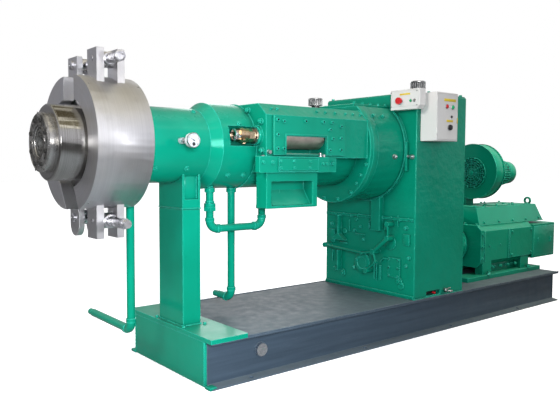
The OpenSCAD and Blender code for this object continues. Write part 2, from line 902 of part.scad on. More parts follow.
// The far half stands open, so that the die body can be taken out
module clamp_ring_far() {
    top = ring_r + 1;
    lip_z = sqrt(lip_r * lip_r - far_end_low * far_end_low);
    split_y = far_end_low + lip_z * tan(split_lean);
    y = [ear_set, ear_set + ear_w];
    mid = ear_set + ear_w / 2;
    tip = ear_down - ear_w / 2;
    color("#a9adb0")
    translate([st(0), ring_open, axis_z]) difference() {
        union() {
            ring_part([[far_end, top], [top, top], [top, -top],
                [split_y - top * tan(split_lean), -top], [split_y, 0], [far_end, 0]]);
            plate_pair(ear_half, ear_t, y, ear_up, 1);
            for (x = [ring_mid - ear_half, ring_mid + ear_half - ear_t])
                translate([x, mid, 0]) rotate([90, 0, 90]) linear_extrude(ear_t)
                    polygon(concat([[ear_w / 2, lug_root - ring_r], [-ear_w / 2, lug_root - ring_r]],
                        [for (a = [180 : 6 : 360])
                            [ear_w / 2 * cos(a), ear_w / 2 * sin(a) - ring_r - tip]]));
        }
        for (z = [ring_r + screw_up, -ring_r - screw_down])
            translate([ring_mid - ring_w / 2, mid, z]) rotate([0, 90, 0])
                cylinder(h = ring_w, d = hinge_pin_d + 2 * seat);
    }
}

// Screw with its eye and hinge pin on the ears, and the trunnion and nut on the lugs
module clamp_screw(z, lug_end, nut_l) {
    eye_y = ring_open + ear_set + ear_w / 2;
    lug_y = -lug_end - lug_w / 2;
    nut_y = lug_y - trunnion_flat / 2;
    pin_half = ear_half + pin_head_t;
    rod_x(ring_mid - pin_half, 2 * pin_half, hinge_pin_d, eye_y, z);
    for (x = [ring_mid - pin_half, ring_mid + ear_half])
        rod_x(x, pin_head_t - seat, pin_head_d, eye_y, z);
    rod_x(ring_mid - ear_gap / 2 + eye_play, ear_gap - 2 * eye_play, eye_d, eye_y, z);
    rod_y(ring_mid, eye_y, z, eye_y - nut_y, screw_d);
    rod_y(ring_mid, nut_y, z, collar_t, collar_d);
    rod_y(ring_mid, nut_y, z, nut_l, nut_d);
    at(0, 0, z) trunnion_pin([-lug_end - lug_w, -lug_end], 0, 0);
    intersection() {
        rod_x(ring_mid - lug_gap / 2 + seat, lug_gap - 2 * seat, trunnion_d, lug_y, z);
        block([ring_x0, ring_x1], [nut_y, lug_y + trunnion_flat / 2],
            [z - trunnion_d, z + trunnion_d]);
    }
}

module clamp_screw_upper() {
    z = axis_z + ring_r + screw_up;
    end_y = -near_end - (lug_w + trunnion_flat) / 2 - nut_up_l;
    color("#c9cccf")
    difference() {
        clamp_screw(z, near_end, nut_up_l);
        rod_y(ring_mid, end_y + socket_h, z, socket_h + 1, nut_socket / cos(30), $fn = 6);
    }
}

module clamp_screw_lower() {
    z = axis_z - ring_r - screw_down;
    end_y = -near_end_low - (lug_w + trunnion_flat) / 2 - nut_down_l;
    color("#c9cccf") {
        clamp_screw(z, near_end_low, nut_down_l);
        rod_y(ring_mid, end_y + 1, z, thread_out + 1, screw_d);
    }
}

// Die body with its clamped flange and the tapering outlet bore
module die_body() {
    die_r = die_d / 2;
    back = wedge_rim + (wedge_r - die_r) * tan(wedge_slope);
    color("#b9bbbd")
    turned([[outlet_d / 2, die_x0], [die_r - die_edge, die_x0], [die_r, die_x0 + die_edge],
        [die_r, ring_mid - back], [wedge_r, ring_mid - wedge_rim], [wedge_r, ring_mid],
        [barrel_bore / 2, ring_mid], [outlet_d / 2, ring_mid - chamber_l]]);
}

module die_nose() {
    nose_r = nose_d / 2;
    color("#4a4646")
    difference() {
        turned([[outlet_d / 2, nose_x0 + recess_h], [recess_d / 2, nose_x0 + recess_h],
            [recess_d / 2, nose_x0], [nose_r - die_edge, nose_x0], [nose_r, nose_x0 + die_edge],
            [nose_r, die_x0], [outlet_d / 2, die_x0]]);
        for (i = [0 : die_holes - 1])
            at(nose_x0, 0, axis_z) rotate([i * 360 / die_holes, 0, 0])
                translate([0, 0, die_pcd / 2]) rotate([0, 90, 0])
                cylinder(h = die_hole_h, d = die_hole_d);
    }
}

// Housing round the screw: roof with sloped shoulders, front flange and the roll cavity
module feed_box() {
    bore_l = cavity_x1 - cavity_x0 + 2 * (journal_l + journal_end);
    color("#12a884")
    difference() {
        union() {
            profile_x(box_at, neck_at - box_at, [[-box_half, ledge_z], [-box_half, box_shoulder],
                [-box_top_half, box_top], [box_top_half, box_top], [box_half, box_shoulder],
                [box_half, ledge_z]]);
            block([box_at, box_at + band_l], [-box_half, box_half], [box_low, ledge_z]);
            rod_x(box_at, neck_at - box_at, jacket_d);
            rod_x(box_at - boss_out, boss_out + 1, boss_d, -roll_y, roll_z);
        }
        rod_x(cavity_x0, cavity_x1 - cavity_x0, roll_d + 2 * roll_gap, -roll_y, roll_z);
        block([cavity_x0, cavity_x1], [-box_half - 1, window_depth - roll_y],
            [window_low, roll_z]);
        rod_x(cavity_x0 - journal_l - journal_end, bore_l, journal_d + 2 * bearing_play,
            -roll_y, roll_z);
    }
}

module feed_cover() {
    x0 = box_at + cover_set;
    color("#17b08c")
    difference() {
        block([x0, x0 + cover_l], [-cover_y, -box_half], [cover_low, box_shoulder]);
        block([window_x0, window_x1], [-cover_y - 1, -box_half + 1], [window_low, window_top]);
    }
}

module feed_sill() {
    x0 = box_at - sill_ahead;
    color("#12a884")
    block([x0, x0 + sill_l], [-box_half - sill_t, -box_half], [box_low, box_low + sill_h]);
}

module sill_panel() {
    x0 = box_at - sill_ahead + panel_at;
    y0 = box_half + sill_t;
    z0 = box_low + (sill_h - panel_h) / 2;
    color("#17b08c")
    block([x0, x0 + panel_l], [-y0 - panel_t, -y0], [z0, z0 + panel_h]);
}

// Open box under the window with a sloping floor that leads to its mouth
module discharge_chute() {
    x0 = box_at - chute_ahead;
    y0 = -cover_y;
    z0 = box_low - chute_h;
    inner = y0 + chute_d - chute_back;
    mouth_top = box_low - chute_lintel;
    color("#12a884")
    difference() {
        block([x0, x0 + chute_l], [y0, y0 + chute_d], [z0, box_low]);
        profile_x(x0 + chute_wall, chute_l - 2 * chute_wall, [[y0 - 1, z0 + chute_back],
            [y0 + chute_floor, z0 + chute_back], [inner, z0 + chute_h / 2],
            [inner, mouth_top], [y0 - 1, mouth_top]]);
    }
}

module feed_roll() {
    color("#8a7d78")
    union() {
        rod_x(roll_x0, roll_l, roll_d, -roll_y, roll_z);
        rod_x(cavity_x0 - journal_l, roll_l + 2 * (roll_gap + journal_l), journal_d,
            -roll_y, roll_z);
    }
}

// Union that feeds cooling water to the roll: neck, hexagon, body and a hose block
module rotary_union() {
    x1 = box_at - boss_out;
    x0 = x1 - union_l;
    half = union_block / 2;
    hex_x = x1 - union_neck_l - union_hex_l;
    body_x = x0 + union_block / 2;
    color("#b08d4f")
    union() {
        rod_x(x1 - union_neck_l, union_neck_l, union_block, -roll_y, roll_z);
        rod_x(hex_x, union_hex_l, union_d, -roll_y, roll_z, $fn = 6);
        rod_x(body_x, hex_x - body_x, union_d, -roll_y, roll_z);
        block([x0, x0 + union_block], [-roll_y - half, -roll_y + half],
            [roll_z - half, roll_z + half]);
    }
}

// Screwed breather: a stem, a waist and a wide cap
module breather(d, h) {
    cylinder(h = h, d = d * breather_stem);
    cylinder(h = h * breather_foot_h, d = d * breather_foot);
    translate([0, 0, h * (1 - breather_cap_h)]) cylinder(h = h * breather_cap_h, d = d);
}

module breather_caps() {
    color("#d8dadb") {
        at(box_at + breather_at, -breather_y, box_top) breather(breather_d, breather_h);
        at(case_at + case_breather_at, -case_breather_y, case_top)
            breather(case_breather_d, case_breather_h);
    }
}

// Round neck with two flanges, cut flat on top
module neck() {
    x1 = neck_at + neck_flange_t;
    x2 = case_at - rear_flange_t;
    color("#0d9474")
    difference() {
        turned([[0, neck_at], [neck_r, neck_at], [neck_r, x1], [neck_d / 2, x1],
            [neck_d / 2, x2], [neck_r, x2], [neck_r, case_at], [0, case_at]]);
        block([neck_at - 1, case_at + 1], [-neck_r, neck_r], [neck_top, axis_z + neck_r + 1]);
    }
}

module neck_cover() {
    half = neck_cover_w / 2;
    color("#12a884")
    block([neck_at + neck_cover_end, case_at - neck_cover_end], [-half, half],
        [neck_top, neck_top + neck_cover_t]);
}

module gear_case() {
    half = case_w / 2;
    x0 = case_at + slot_at;
    z0 = deck_z + slot_up;
    color("#0c8f6e")
    difference() {
        block([case_at, case_x1], [-half, half], [deck_z, case_top]);
        block([x0, x0 + slot_l], [-half - 1, -half + slot_depth], [z0, z0 + slot_h]);
    }
}

// Seam band, column, ribs and inspection pad on the front face
module case_front_ribs() {
    half = case_w / 2 - seam_out;
    low = seam_z - seam_h / 2;
    waist = flare_low + flare_h;
    color("#0c8f6e") {
        block([case_at - seam_out, case_at], [-half, half], [low, low + seam_h]);
        difference() {
            block([case_at - rib_out, case_at],
                [-column_y - column_w / 2, -column_y + column_w / 2], [column_low, axis_z]);
            rod_x(case_at - rib_out - 1, rib_out + 2, neck_flange_d + 2 * seat);
        }
        translate([0, flare_y, 0]) profile_x(case_at - rib_out, rib_out,
            [[-flare_half, flare_low], [flare_half, flare_low], [rib_t / 2, waist],
            [rib_t / 2, low + 1], [-rib_t / 2, low + 1], [-rib_t / 2, waist]]);
        block([case_at - rib_out, case_at], [flare_y - rib_t / 2, flare_y + rib_t / 2],
            [pad_z - rib_t, low_rib_top]);
        for (y = [-short_rib_y, -short_rib_y - short_rib_gap])
            block([case_at - seam_out, case_at], [y - rib_t, y],
                [pad_z - short_rib_drop, pad_z - short_rib_drop + short_rib_h]);
        block([case_at - seam_out, case_at], [-pad_y - pad_w, -pad_y], [pad_z, pad_z + pad_h]);
    }
}

// Oil pipes across the front face, with fittings that enter the case
module case_oil_pipes() {
    x = case_at - oil_out;
    fork = [-oil_fork_y, oil_fork_z];
    tee = [-oil_tee_y, oil_tee_z];
    top = [-oil_tee_y, seam_z - seam_h / 2 - oil_pipe_d];
    low = [-oil_low_y, oil_low_z];
    end = [case_w / 2 - oil_end_in, oil_fork_z];
    color("#17b08c") {
        pipe_run(x, oil_line_d, [end, [0, oil_fork_z - oil_sag], fork]);
        pipe_run(x, oil_pipe_d, [fork, tee]);
        pipe_run(x, oil_line_d, [tee, top]);
        pipe_run(x, oil_line_d, [low, [-oil_fork_y - oil_sag, (oil_low_z + oil_fork_z) / 2],
            fork]);
        for (p = [end, fork, tee, top, low])
            rod_x(x - oil_pipe_d / 2, oil_out + oil_pipe_d / 2, oil_pipe_d * elbow, p[0], p[1]);
    }
}

// Steel box with a raised door on its outer side
module control_box_side() {
    x0 = case_at + side_box_at;
    x1 = x0 + side_box_w;
    y0 = -case_w / 2;
    y1 = y0 - side_box_d;
    z1 = case_top - side_box_drop;
    z0 = z1 - side_box_h;
    color("#dedbd8")
    union() {
        block([x0, x1], [y1, y0], [z0, z1]);
        block([x0 + door_edge, x1 - door_edge], [y1 - door_t, y1],
            [z0 + door_edge, z1 - door_edge]);
    }
}

// Box beside the neck flange, with one cut corner below
module control_box_front() {
    z0 = front_box_z;
    z1 = z0 + front_box_h;
    y1 = front_box_y;
    y0 = y1 - front_box_w;
    color("#dedbd8")
    union() {
        profile_x(case_at - front_box_d, front_box_d, [[y0, z0 + front_box_cut],
            [y0 + front_box_cut, z0], [y1, z0], [y1, z1], [y0, z1]]);
        block([case_at - front_box_d - door_t, case_at - front_box_d],
            [y0 + door_edge, y1 - door_edge], [z0 + front_box_cut, z1 - door_edge]);
    }
}

// Mushroom button on the door of the front box
module stop_button() {
    color("#c8262b")
    at(case_at - front_box_d - door_t, front_box_y - stop_at, front_box_z + stop_up)
        rotate([0, -90, 0]) {
        cylinder(h = stop_h / 2, d = stop_d * 0.6);
        translate([0, 0, stop_h / 2]) cylinder(h = stop_h / 2, d = stop_d);
    }
}

module dial_thermometer() {
    z = axis_z + dial_up;
    stem_y = -barrel_r - dial_boss_out;
    color("#e6e6e4")
    difference() {
        union() {
            rod_y(dial_at, -barrel_r + dial_boss_out, z, 2 * dial_boss_out, dial_boss_d);
            rod_y(dial_at, stem_y, z, dial_stem_l, dial_stem_d);
            rod_y(dial_at, stem_y - dial_stem_l, z, dial_t, dial_d);
        }
        rod_x(dial_at - dial_boss_d, 2 * dial_boss_d, barrel_d + 2 * seat);
    }
}

module coupling_guard() {
    color("#0c8f6e")
    union() {
        rod_x(case_x1, motor_at - case_x1, guard_d, 0, motor_z);
        rod_x(case_x1, guard_flange_t, guard_flange_d, 0, motor_z);
    }
}

module motor_sub_base() {
    half = sub_base_w / 2;
    x = [case_x1 + sub_base_at, base_l - sub_base_end];
    color("#0c8f6e")
    union() {
        block(x, [-half, -half + sub_rail_w], [deck_z, sub_top]);
        block(x, [half - sub_rail_w, half], [deck_z, sub_top]);
    }
}

// Octagonal motor outline as [y, z], drawn out along X
module motor_section(x, len, grow) {
    half = motor_w / 2 + grow;
    low = motor_low - grow;
    top = motor_top + grow;
    c = motor_edge;
    profile_x(x, len, [[-half + c, low], [-half, low + c], [-half, top - c], [-half + c, top],
        [half - c, top], [half, top - c], [half, low + c], [half - c, low]]);
}

// Square-framed motor with an end shield, raised side panels and four feet
module motor_frame() {
    half = motor_w / 2;
    panel_x = motor_at + side_panel_at;
    color("#0fa182")
    union() {
        motor_section(motor_at, motor_l, 0);
        motor_section(motor_at, shield_l, shield_out);
        block([panel_x, motor_x1], [-half - side_panel_t, half + side_panel_t],
            [motor_low + motor_edge, motor_top - motor_edge]);
        for (x = [motor_at + motor_foot_at, motor_x1 - motor_foot_at - motor_foot_l],
            y = [-half, half - motor_foot_w])
            block([x, x + motor_foot_l], [y, y + motor_foot_w],
                [sub_top, motor_low + motor_edge]);
    }
}

module motor_end_box() {
    half = end_box_w / 2;
    color("#0a6e52")
    block([motor_x1, motor_x1 + end_box_l], [-half, half], [end_box_z, end_box_z + end_box_h]);
}

// Cover with sloped sides and ends, and a lifting eye on top
module motor_top_cover() {
    x0 = motor_at + top_cover_at;
    x1 = x0 + top_cover_l;
    z1 = motor_top + top_cover_h;
    half = top_cover_w / 2;
    foot = half + cover_slope;
    eye_x = motor_at + lift_eye_at;
    eye_z = z1 + eye_ring_d / 2 - eye_sunk;
    color("#17b08c") {
        intersection() {
            profile_x(x0, top_cover_l, [[-foot, motor_top], [-half, z1], [half, z1],
                [foot, motor_top]]);
            at(0, foot) rotate([90, 0, 0]) linear_extrude(2 * foot)
                polygon([[x0, motor_top], [x0 + cover_slope / 2, z1],
                    [x1 - cover_slope, z1], [x1, motor_top]]);
        }
        difference() {
            rod_x(eye_x - eye_ring_t / 2, eye_ring_t, eye_ring_d, -lift_eye_y, eye_z);
            rod_x(eye_x - eye_ring_t, 2 * eye_ring_t, eye_bore_d, -lift_eye_y, eye_z);
        }
    }
}

// Scroll with an off-centre inlet and a duct that leads down on the far side
module blower_scroll() {
    x0 = motor_at + blower_at;
    z1 = motor_top + top_cover_h;
    fan_z = blower_z - fan_drop;
    color("#0fa182")
    difference() {
        union() {
            rod_x(x0, scroll_w, scroll_d, 0, blower_z);
            rod_x(x0 - inlet_ring_t, inlet_ring_t + 1, inlet_ring_d, 0, fan_z);
            profile_x(x0 + duct_edge, scroll_w - 2 * duct_edge, [[duct_y, blower_z],
                [duct_y, z1], [duct_y + duct_foot_w, z1], [duct_y + duct_foot_w, z1 + duct_foot_h],
                [scroll_d / 2, blower_z - scroll_d / 4], [scroll_d / 2, blower_z]]);
        }
        rod_x(x0 - inlet_ring_t - 1, inlet_ring_t + inlet_depth + 1, inlet_d, 0, fan_z);
    }
}

// Blower motor with a wider fan cap at its end
module blower_motor() {
    x0 = motor_at + blower_at + scroll_w;
    z = blower_z - fan_drop;
    color("#0c8f6e")
    union() {
        rod_x(x0, fan_motor_l, fan_motor_d, 0, z);
        rod_x(x0, fan_flange_t, fan_flange_d, 0, z);
        rod_x(x0 + fan_motor_l, fan_cap_l, fan_cap_d, 0, z);
    }
}

// Pipe down from the barrel, then a stub with a spigot to the far side
module drop_pipe(x, r_body, low, stub) {
    top = axis_z - r_body - seat;
    at(x) {
        translate([0, 0, low + pipe_bend]) cylinder(h = top - low - pipe_bend, d = pipe_d);
        translate([0, pipe_bend, low + pipe_bend]) rotate([90, 0, 90]) rotate([0, 0, 180])
            quarter_bend();
        translate([0, pipe_bend, low]) rotate([-90, 0, 0])
            cylinder(h = stub - pipe_bend - spigot_l, d = pipe_d);
        translate([0, stub - spigot_l, low]) rotate([-90, 0, 0])
            cylinder(h = spigot_l, d = spigot_d);
    }
}

module water_pipe_front() {
    color("#12a884") drop_pipe(front_pipe_at, barrel_r, stub_front_z, stub_front);
}

module water_pipe_rear() {
    color("#12a884") drop_pipe(box_at - rear_pipe_ahead, jacket_r, stub_rear_z, stub_rear);
}

// U-shaped pipe under the barrel, in front of the rear drop pipe
module crossover_pipe() {
    x0 = step_at + cross_pipe_at;
    x1 = box_at + cross_pipe_end;
    y = -cross_pipe_y;
    z = cross_pipe_z;
    color("#12a884")
    difference() {
        union() {
            for (x = [x0, x1]) {
                at(x, y, z + pipe_bend) cylinder(h = axis_z - z - pipe_bend, d = pipe_d);
                at(x, y, z + cross_union_up) cylinder(h = pipe_union_l, d = pipe_union_d);
            }
            rod_x(x0 + pipe_bend, x1 - x0 - 2 * pipe_bend, pipe_d, y, z);
            at(x0 + pipe_bend, y, z + pipe_bend) rotate([90, 180, 0]) quarter_bend();
            at(x1 - pipe_bend, y, z + pipe_bend) rotate([90, 90, 0]) quarter_bend();
        }
        rod_x(x0 - pipe_d, x1 - x0 + 2 * pipe_d, jacket_d + 2 * seat);
    }
}

base_beam_near();
base_beam_far();
base_cross_members();
deck_plate();
front_end_plate();
rear_end_plate();
lifting_bar();
post_foot_plate();
front_post();
barrel_saddle();
barrel_front();
barrel_rear();
clamp_ring_near();
clamp_ring_far();
clamp_screw_upper();
clamp_screw_lower();
die_body();
die_nose();
feed_box();
feed_cover();
feed_sill();
sill_panel();
discharge_chute();
feed_roll();
rotary_union();
breather_caps();
neck();
neck_cover();
gear_case();
case_front_ribs();
case_oil_pipes();
control_box_side();
control_box_front();
stop_button();
dial_thermometer();
coupling_guard();
motor_sub_base();
motor_frame();
motor_end_box();
motor_top_cover();
blower_scroll();
blower_motor();
water_pipe_front();
water_pipe_rear();
crossover_pipe();
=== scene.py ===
"""Looks of the hot feed rubber extruder: enamel, turned steel, bolts, welds, controls and fittings."""

import json
import math
import random
from itertools import product

import bmesh
import bpy
from mathutils import Matrix, Vector


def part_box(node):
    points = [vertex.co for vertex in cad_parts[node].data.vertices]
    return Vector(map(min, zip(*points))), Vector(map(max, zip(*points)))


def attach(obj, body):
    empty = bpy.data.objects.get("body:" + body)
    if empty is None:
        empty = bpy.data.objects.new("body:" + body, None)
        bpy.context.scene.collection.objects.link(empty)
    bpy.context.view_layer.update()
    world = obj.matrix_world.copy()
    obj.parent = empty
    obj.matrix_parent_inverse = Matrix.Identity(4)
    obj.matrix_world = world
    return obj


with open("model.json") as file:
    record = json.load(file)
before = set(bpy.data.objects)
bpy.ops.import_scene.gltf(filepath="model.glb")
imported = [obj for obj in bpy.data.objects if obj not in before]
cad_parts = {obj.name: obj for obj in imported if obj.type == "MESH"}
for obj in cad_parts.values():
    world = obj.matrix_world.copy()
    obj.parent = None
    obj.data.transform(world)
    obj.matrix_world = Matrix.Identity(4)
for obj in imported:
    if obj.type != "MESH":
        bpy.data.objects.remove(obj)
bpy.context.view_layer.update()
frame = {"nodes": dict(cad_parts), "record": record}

BODY = "machine"
nodes = frame["nodes"]
random.seed(7)

MM = 0.001
BASE_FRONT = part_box("base_beam_near")[0].x  # station 0, in metres
AXIS_Z = (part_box("barrel_front")[0].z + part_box("barrel_front")[1].z) / 2

# Heights in millimetres of the screw, the blower and the coupling
AXIS = 1143
BLOWER_Z = 988
COUPLING_Z = 462


def at(x, y, z):
    """A point in metres from a station, a depth and a height in millimetres."""
    return Vector((BASE_FRONT + x * MM, y * MM, z * MM))


def around(x, radius, turn, y=0, z=AXIS):
    """A point on a circle about a line along X."""
    return at(x, y + radius * math.cos(turn), z + radius * math.sin(turn))


# Camera at the photograph's angle

FRAME_PIXELS = 560
FOCAL_PIXELS = 630.6
CAMERA_YAW = math.radians(51.0575)
CAMERA_DOWN = math.radians(3.3291)
CAMERA_ROLL = math.radians(0.2628)

camera_data = bpy.data.cameras.new("camera")
camera_data.sensor_width = 36
camera_data.lens = FOCAL_PIXELS / FRAME_PIXELS * camera_data.sensor_width
camera = bpy.data.objects.new("camera", camera_data)
bpy.context.scene.collection.objects.link(camera)
camera.matrix_world = (Matrix.Translation(at(-1559, -2827, 1055))
                       @ Matrix.Rotation(CAMERA_YAW - math.pi / 2, 4, "Z")
                       @ Matrix.Rotation(math.pi / 2 - CAMERA_DOWN, 4, "X")
                       @ Matrix.Rotation(CAMERA_ROLL, 4, "Z"))
bpy.context.scene.camera = camera


# Materials


class Nodes:
    """A small wrapper that builds a node tree."""

    def __init__(self, tree):
        self.tree = tree

    def add(self, kind, inputs=None, **settings):
        """New node; each input is a number, a colour or the output of another node."""
        node = self.tree.nodes.new(kind)
        for key, value in settings.items():
            setattr(node, key, value)
        for key, value in (inputs or {}).items():
            self.put(node.inputs[key], value)
        return node

    def put(self, socket, value):
        if isinstance(value, bpy.types.NodeSocket):
            self.tree.links.new(value, socket)
        else:
            socket.default_value = value

    def math(self, operation, a, b):
        return self.add("ShaderNodeMath", {0: a, 1: b}, operation=operation).outputs[0]

    def ramp(self, value, low, high, out_low=0, out_high=1):
        inputs = {"Value": value, "From Min": low, "From Max": high, "To Min": out_low, "To Max": out_high}
        return self.add("ShaderNodeMapRange", inputs, clamp=True).outputs["Result"]

    def mix(self, factor, a, b):
        inputs = {"Factor": factor, "A": opaque(a), "B": opaque(b)}
        return self.add("ShaderNodeMix", inputs, data_type="RGBA").outputs["Result"]

    def split(self, vector):
        return self.add("ShaderNodeSeparateXYZ", {0: vector}).outputs


class Shader(Nodes):
    """The nodes of one material."""

    def __init__(self, name):
        self.material = bpy.data.materials.new(name)
        self.material.use_nodes = True
        super().__init__(self.material.node_tree)
        self.bsdf = self.tree.nodes["Principled BSDF"]
        self.object_coord = self.add("ShaderNodeTexCoord").outputs["Object"]
        self.normal = self.add("ShaderNodeNewGeometry").outputs["Normal"]

    def noise(self, scale, detail=4, roughness=0.55, vector=None):
        inputs = {"Vector": vector or self.object_coord, "Scale": scale,
            "Detail": detail, "Roughness": roughness}
        return self.add("ShaderNodeTexNoise", inputs).outputs["Fac"]

    def scaled(self, factors):
        inputs = {"Vector": self.object_coord, "Scale": factors}
        return self.add("ShaderNodeMapping", inputs).outputs["Vector"]

    def facing_up(self):
        """0 on walls and undersides, 1 on level tops."""
        return self.ramp(self.split(self.normal)["Z"], 0.3, 0.95)

    def edges(self, radius):
        """1 along edges, where paint and plating wear first and catch the light."""
        rounded = self.add("ShaderNodeBevel", {"Radius": radius}, samples=4).outputs["Normal"]
        compared = self.add("ShaderNodeVectorMath", {0: rounded, 1: self.normal}, operation="DOT_PRODUCT")
        return self.ramp(compared.outputs["Value"], 0.99, 0.8)

    def turned(self, across):
        """Lines of a lathe about the screw axis: they vary along X and with the radius."""
        x, y, z = self.split(self.object_coord)
        height = self.math("SUBTRACT", z, AXIS_Z)
        squares = self.math("ADD", self.math("MULTIPLY", y, y), self.math("MULTIPLY", height, height))
        along = self.math("ADD", x, self.math("SQRT", squares, 0))
        inputs = {0: self.math("MULTIPLY", along, across), 1: self.math("MULTIPLY", y, 1.5),
            2: self.math("MULTIPLY", z, 1.5)}
        return self.add("ShaderNodeCombineXYZ", inputs).outputs[0]

    def bump(self, height, distance, strength, below=None):
        inputs = {"Strength": strength, "Distance": distance, "Height": height}
        if below:
            inputs["Normal"] = below
        return self.add("ShaderNodeBump", inputs).outputs["Normal"]

    def finish(self, color, roughness, normal=None, **others):
        self.put(self.bsdf.inputs["Base Color"], opaque(color))
        self.put(self.bsdf.inputs["Roughness"], roughness)
        if normal:
            self.put(self.bsdf.inputs["Normal"], normal)
        for key, value in others.items():
            self.put(self.bsdf.inputs[key.replace("_", " ")], value)
        return self.material


def opaque(color):
    """A colour with full alpha; the output of a node stays as it is."""
    return color if isinstance(color, bpy.types.NodeSocket) else (*color, 1)


def shade(color, factor):
    return tuple(factor * c for c in color)


def enamel(name, base, deep, casting=0, roughness=0.1):
    """Gloss enamel with orange peel, cloudy colour, grime, a little dust on level tops, painted shade in
    hollows and edges lightened partly by wear and partly as a painted highlight.
    """
    s = Shader(name)
    color = s.mix(s.ramp(s.noise(2.6, 5), 0.3, 0.7), deep, base)
    runs = s.ramp(s.noise(1, 5, 0.6, s.scaled((13, 13, 2.2))), 0.58, 0.8, 0, 0.2)
    color = s.mix(runs, color, shade(deep, 0.7))
    grime = s.ramp(s.noise(30, 8, 0.7), 0.62, 0.8, 0, 0.3)
    color = s.mix(grime, color, shade(deep, 0.45))
    dust = s.math("MULTIPLY", s.facing_up(), s.ramp(s.noise(9, 6), 0.3, 0.75, 0.01, 0.1))
    color = s.mix(dust, color, (0.36, 0.42, 0.36))
    # Painted shade: the colour darkens towards the deep green in hollows, creases and between parts, where
    # shade falls.
    hollow = s.add("ShaderNodeAmbientOcclusion", {"Distance": 0.07}, samples=6)
    color = s.mix(s.ramp(hollow.outputs["AO"], 0.35, 0.85, 0.62, 0), color, shade(deep, 0.25))
    # Edges lighter green: partly paint wear, partly a painted highlight where edges catch the light.
    edge_wear_and_highlight = s.math("MULTIPLY", s.edges(0.008 if casting else 0.006),
        s.ramp(s.noise(20, 6), 0.3, 0.6, 0.3, 0.85 if casting else 0.7))
    color = s.mix(edge_wear_and_highlight, color, (0.05, 0.56, 0.43))
    rough = s.math("ADD", s.ramp(s.noise(14, 5), 0.3, 0.75, roughness, roughness + 0.09),
        s.math("MULTIPLY", s.facing_up(), 0.22))
    normal = s.bump(s.noise(150, 2), 0.0005, 0.3)
    if casting:
        normal = s.bump(s.noise(18, 3), casting, 0.8, normal)
    return s.finish(color, rough, normal, IOR=1.42, Specular_Tint=(0.4, 1, 0.92, 1))


def primer(name, base, dark, dust_color):
    """Semi gloss primer on rolled steel, with drag marks, rust specks and dust."""
    s = Shader(name)
    streak = s.ramp(s.noise(1, 6, 0.6, s.scaled((1.2, 26, 26))), 0.3, 0.72)
    color = s.mix(streak, dark, base)
    spots = s.ramp(s.noise(46, 6, 0.7), 0.66, 0.74, 0, 0.4)
    color = s.mix(spots, color, (0.07, 0.055, 0.045))
    scuff = s.ramp(s.noise(1, 7, 0.7, s.scaled((3, 60, 60))), 0.66, 0.78, 0, 0.3)
    color = s.mix(scuff, color, (0.2, 0.22, 0.23))
    cover = s.math("MULTIPLY", s.facing_up(), s.ramp(s.noise(4, 8, 0.6), 0.25, 0.7, 0.45, 0.95))
    color = s.mix(cover, color, dust_color)
    # Edges lighter grey: partly wear down to bare steel, partly a painted highlight.
    edge_wear_and_highlight = s.math("MULTIPLY", s.edges(0.005), s.ramp(s.noise(25, 6), 0.35, 0.65, 0.1, 0.6))
    color = s.mix(edge_wear_and_highlight, color, (0.2, 0.225, 0.24))
    rough = s.math("ADD", s.ramp(s.noise(18, 5), 0.3, 0.7, 0.36, 0.55), s.math("MULTIPLY", cover, 0.2))
    normal = s.bump(s.noise(90, 4), 0.0007, 0.5)
    return s.finish(color, rough, normal, Specular_IOR_Level=0.3)


def turned_steel(name, light, dark, roughness, tint=(0.62, 0.56, 0.44), stain=0.25, groove=0.0003):
    """Lathe-turned steel: fine rings, a soft oil tint, stains and scratches."""
    s = Shader(name)
    rings = s.noise(1, 3, 0.6, s.turned(420))
    broad = s.noise(1, 2, 0.5, s.turned(34))
    color = s.mix(s.ramp(rings, 0.3, 0.7), dark, light)
    color = s.mix(s.ramp(s.noise(3.4, 5), 0.45, 0.8, 0, stain), color, tint)
    smear = s.ramp(s.noise(13, 7, 0.65), 0.55, 0.78, 0, 0.35)
    color = s.mix(smear, color, shade(dark, 0.7))
    rough = s.math("ADD", s.ramp(broad, 0.3, 0.7, roughness, roughness + 0.09),
        s.ramp(s.noise(25, 6), 0.5, 0.8, 0, 0.12))
    normal = s.bump(rings, groove, 0.35)
    return s.finish(color, rough, normal, Metallic=1)


def dark_steel(name):
    """Heat-tinted steel with baked rubber residue and bright rings of wear."""
    s = Shader(name)
    front = s.ramp(s.split(s.normal)["X"], -0.9, -0.4, 0.52, 0.3)
    patch = s.mix(s.ramp(s.math("SUBTRACT", s.noise(16, 8, 0.65), front), -0.1, 0.12),
        (0, 0, 0), (1, 1, 1))
    color = s.mix(patch, (0.085, 0.082, 0.076), (0.4, 0.385, 0.37))
    bright = s.ramp(s.noise(1, 3, 0.6, s.turned(260)), 0.56, 0.72, 0, 0.5)
    color = s.mix(bright, color, (0.46, 0.44, 0.42))
    rough = s.ramp(patch, 0, 1, 0.55, 0.26)
    normal = s.bump(s.noise(60, 6), 0.0014, 0.6)
    return s.finish(color, rough, normal, Metallic=0.9)


def plain_metal(name, base, roughness, grain=60):
    """Small machined or plated parts, a little darker in patches."""
    s = Shader(name)
    spread = s.ramp(s.noise(grain, 4), 0.3, 0.7)
    color = s.mix(spread, shade(base, 0.7), base)
    color = s.mix(s.ramp(s.noise(grain * 0.25, 5), 0.55, 0.8, 0, 0.4), color, shade(base, 0.5))
    rough = s.ramp(s.noise(grain * 0.6, 4), 0.3, 0.7, roughness, roughness + 0.14)
    return s.finish(color, rough, s.bump(spread, 0.0003, 0.35), Metallic=1)


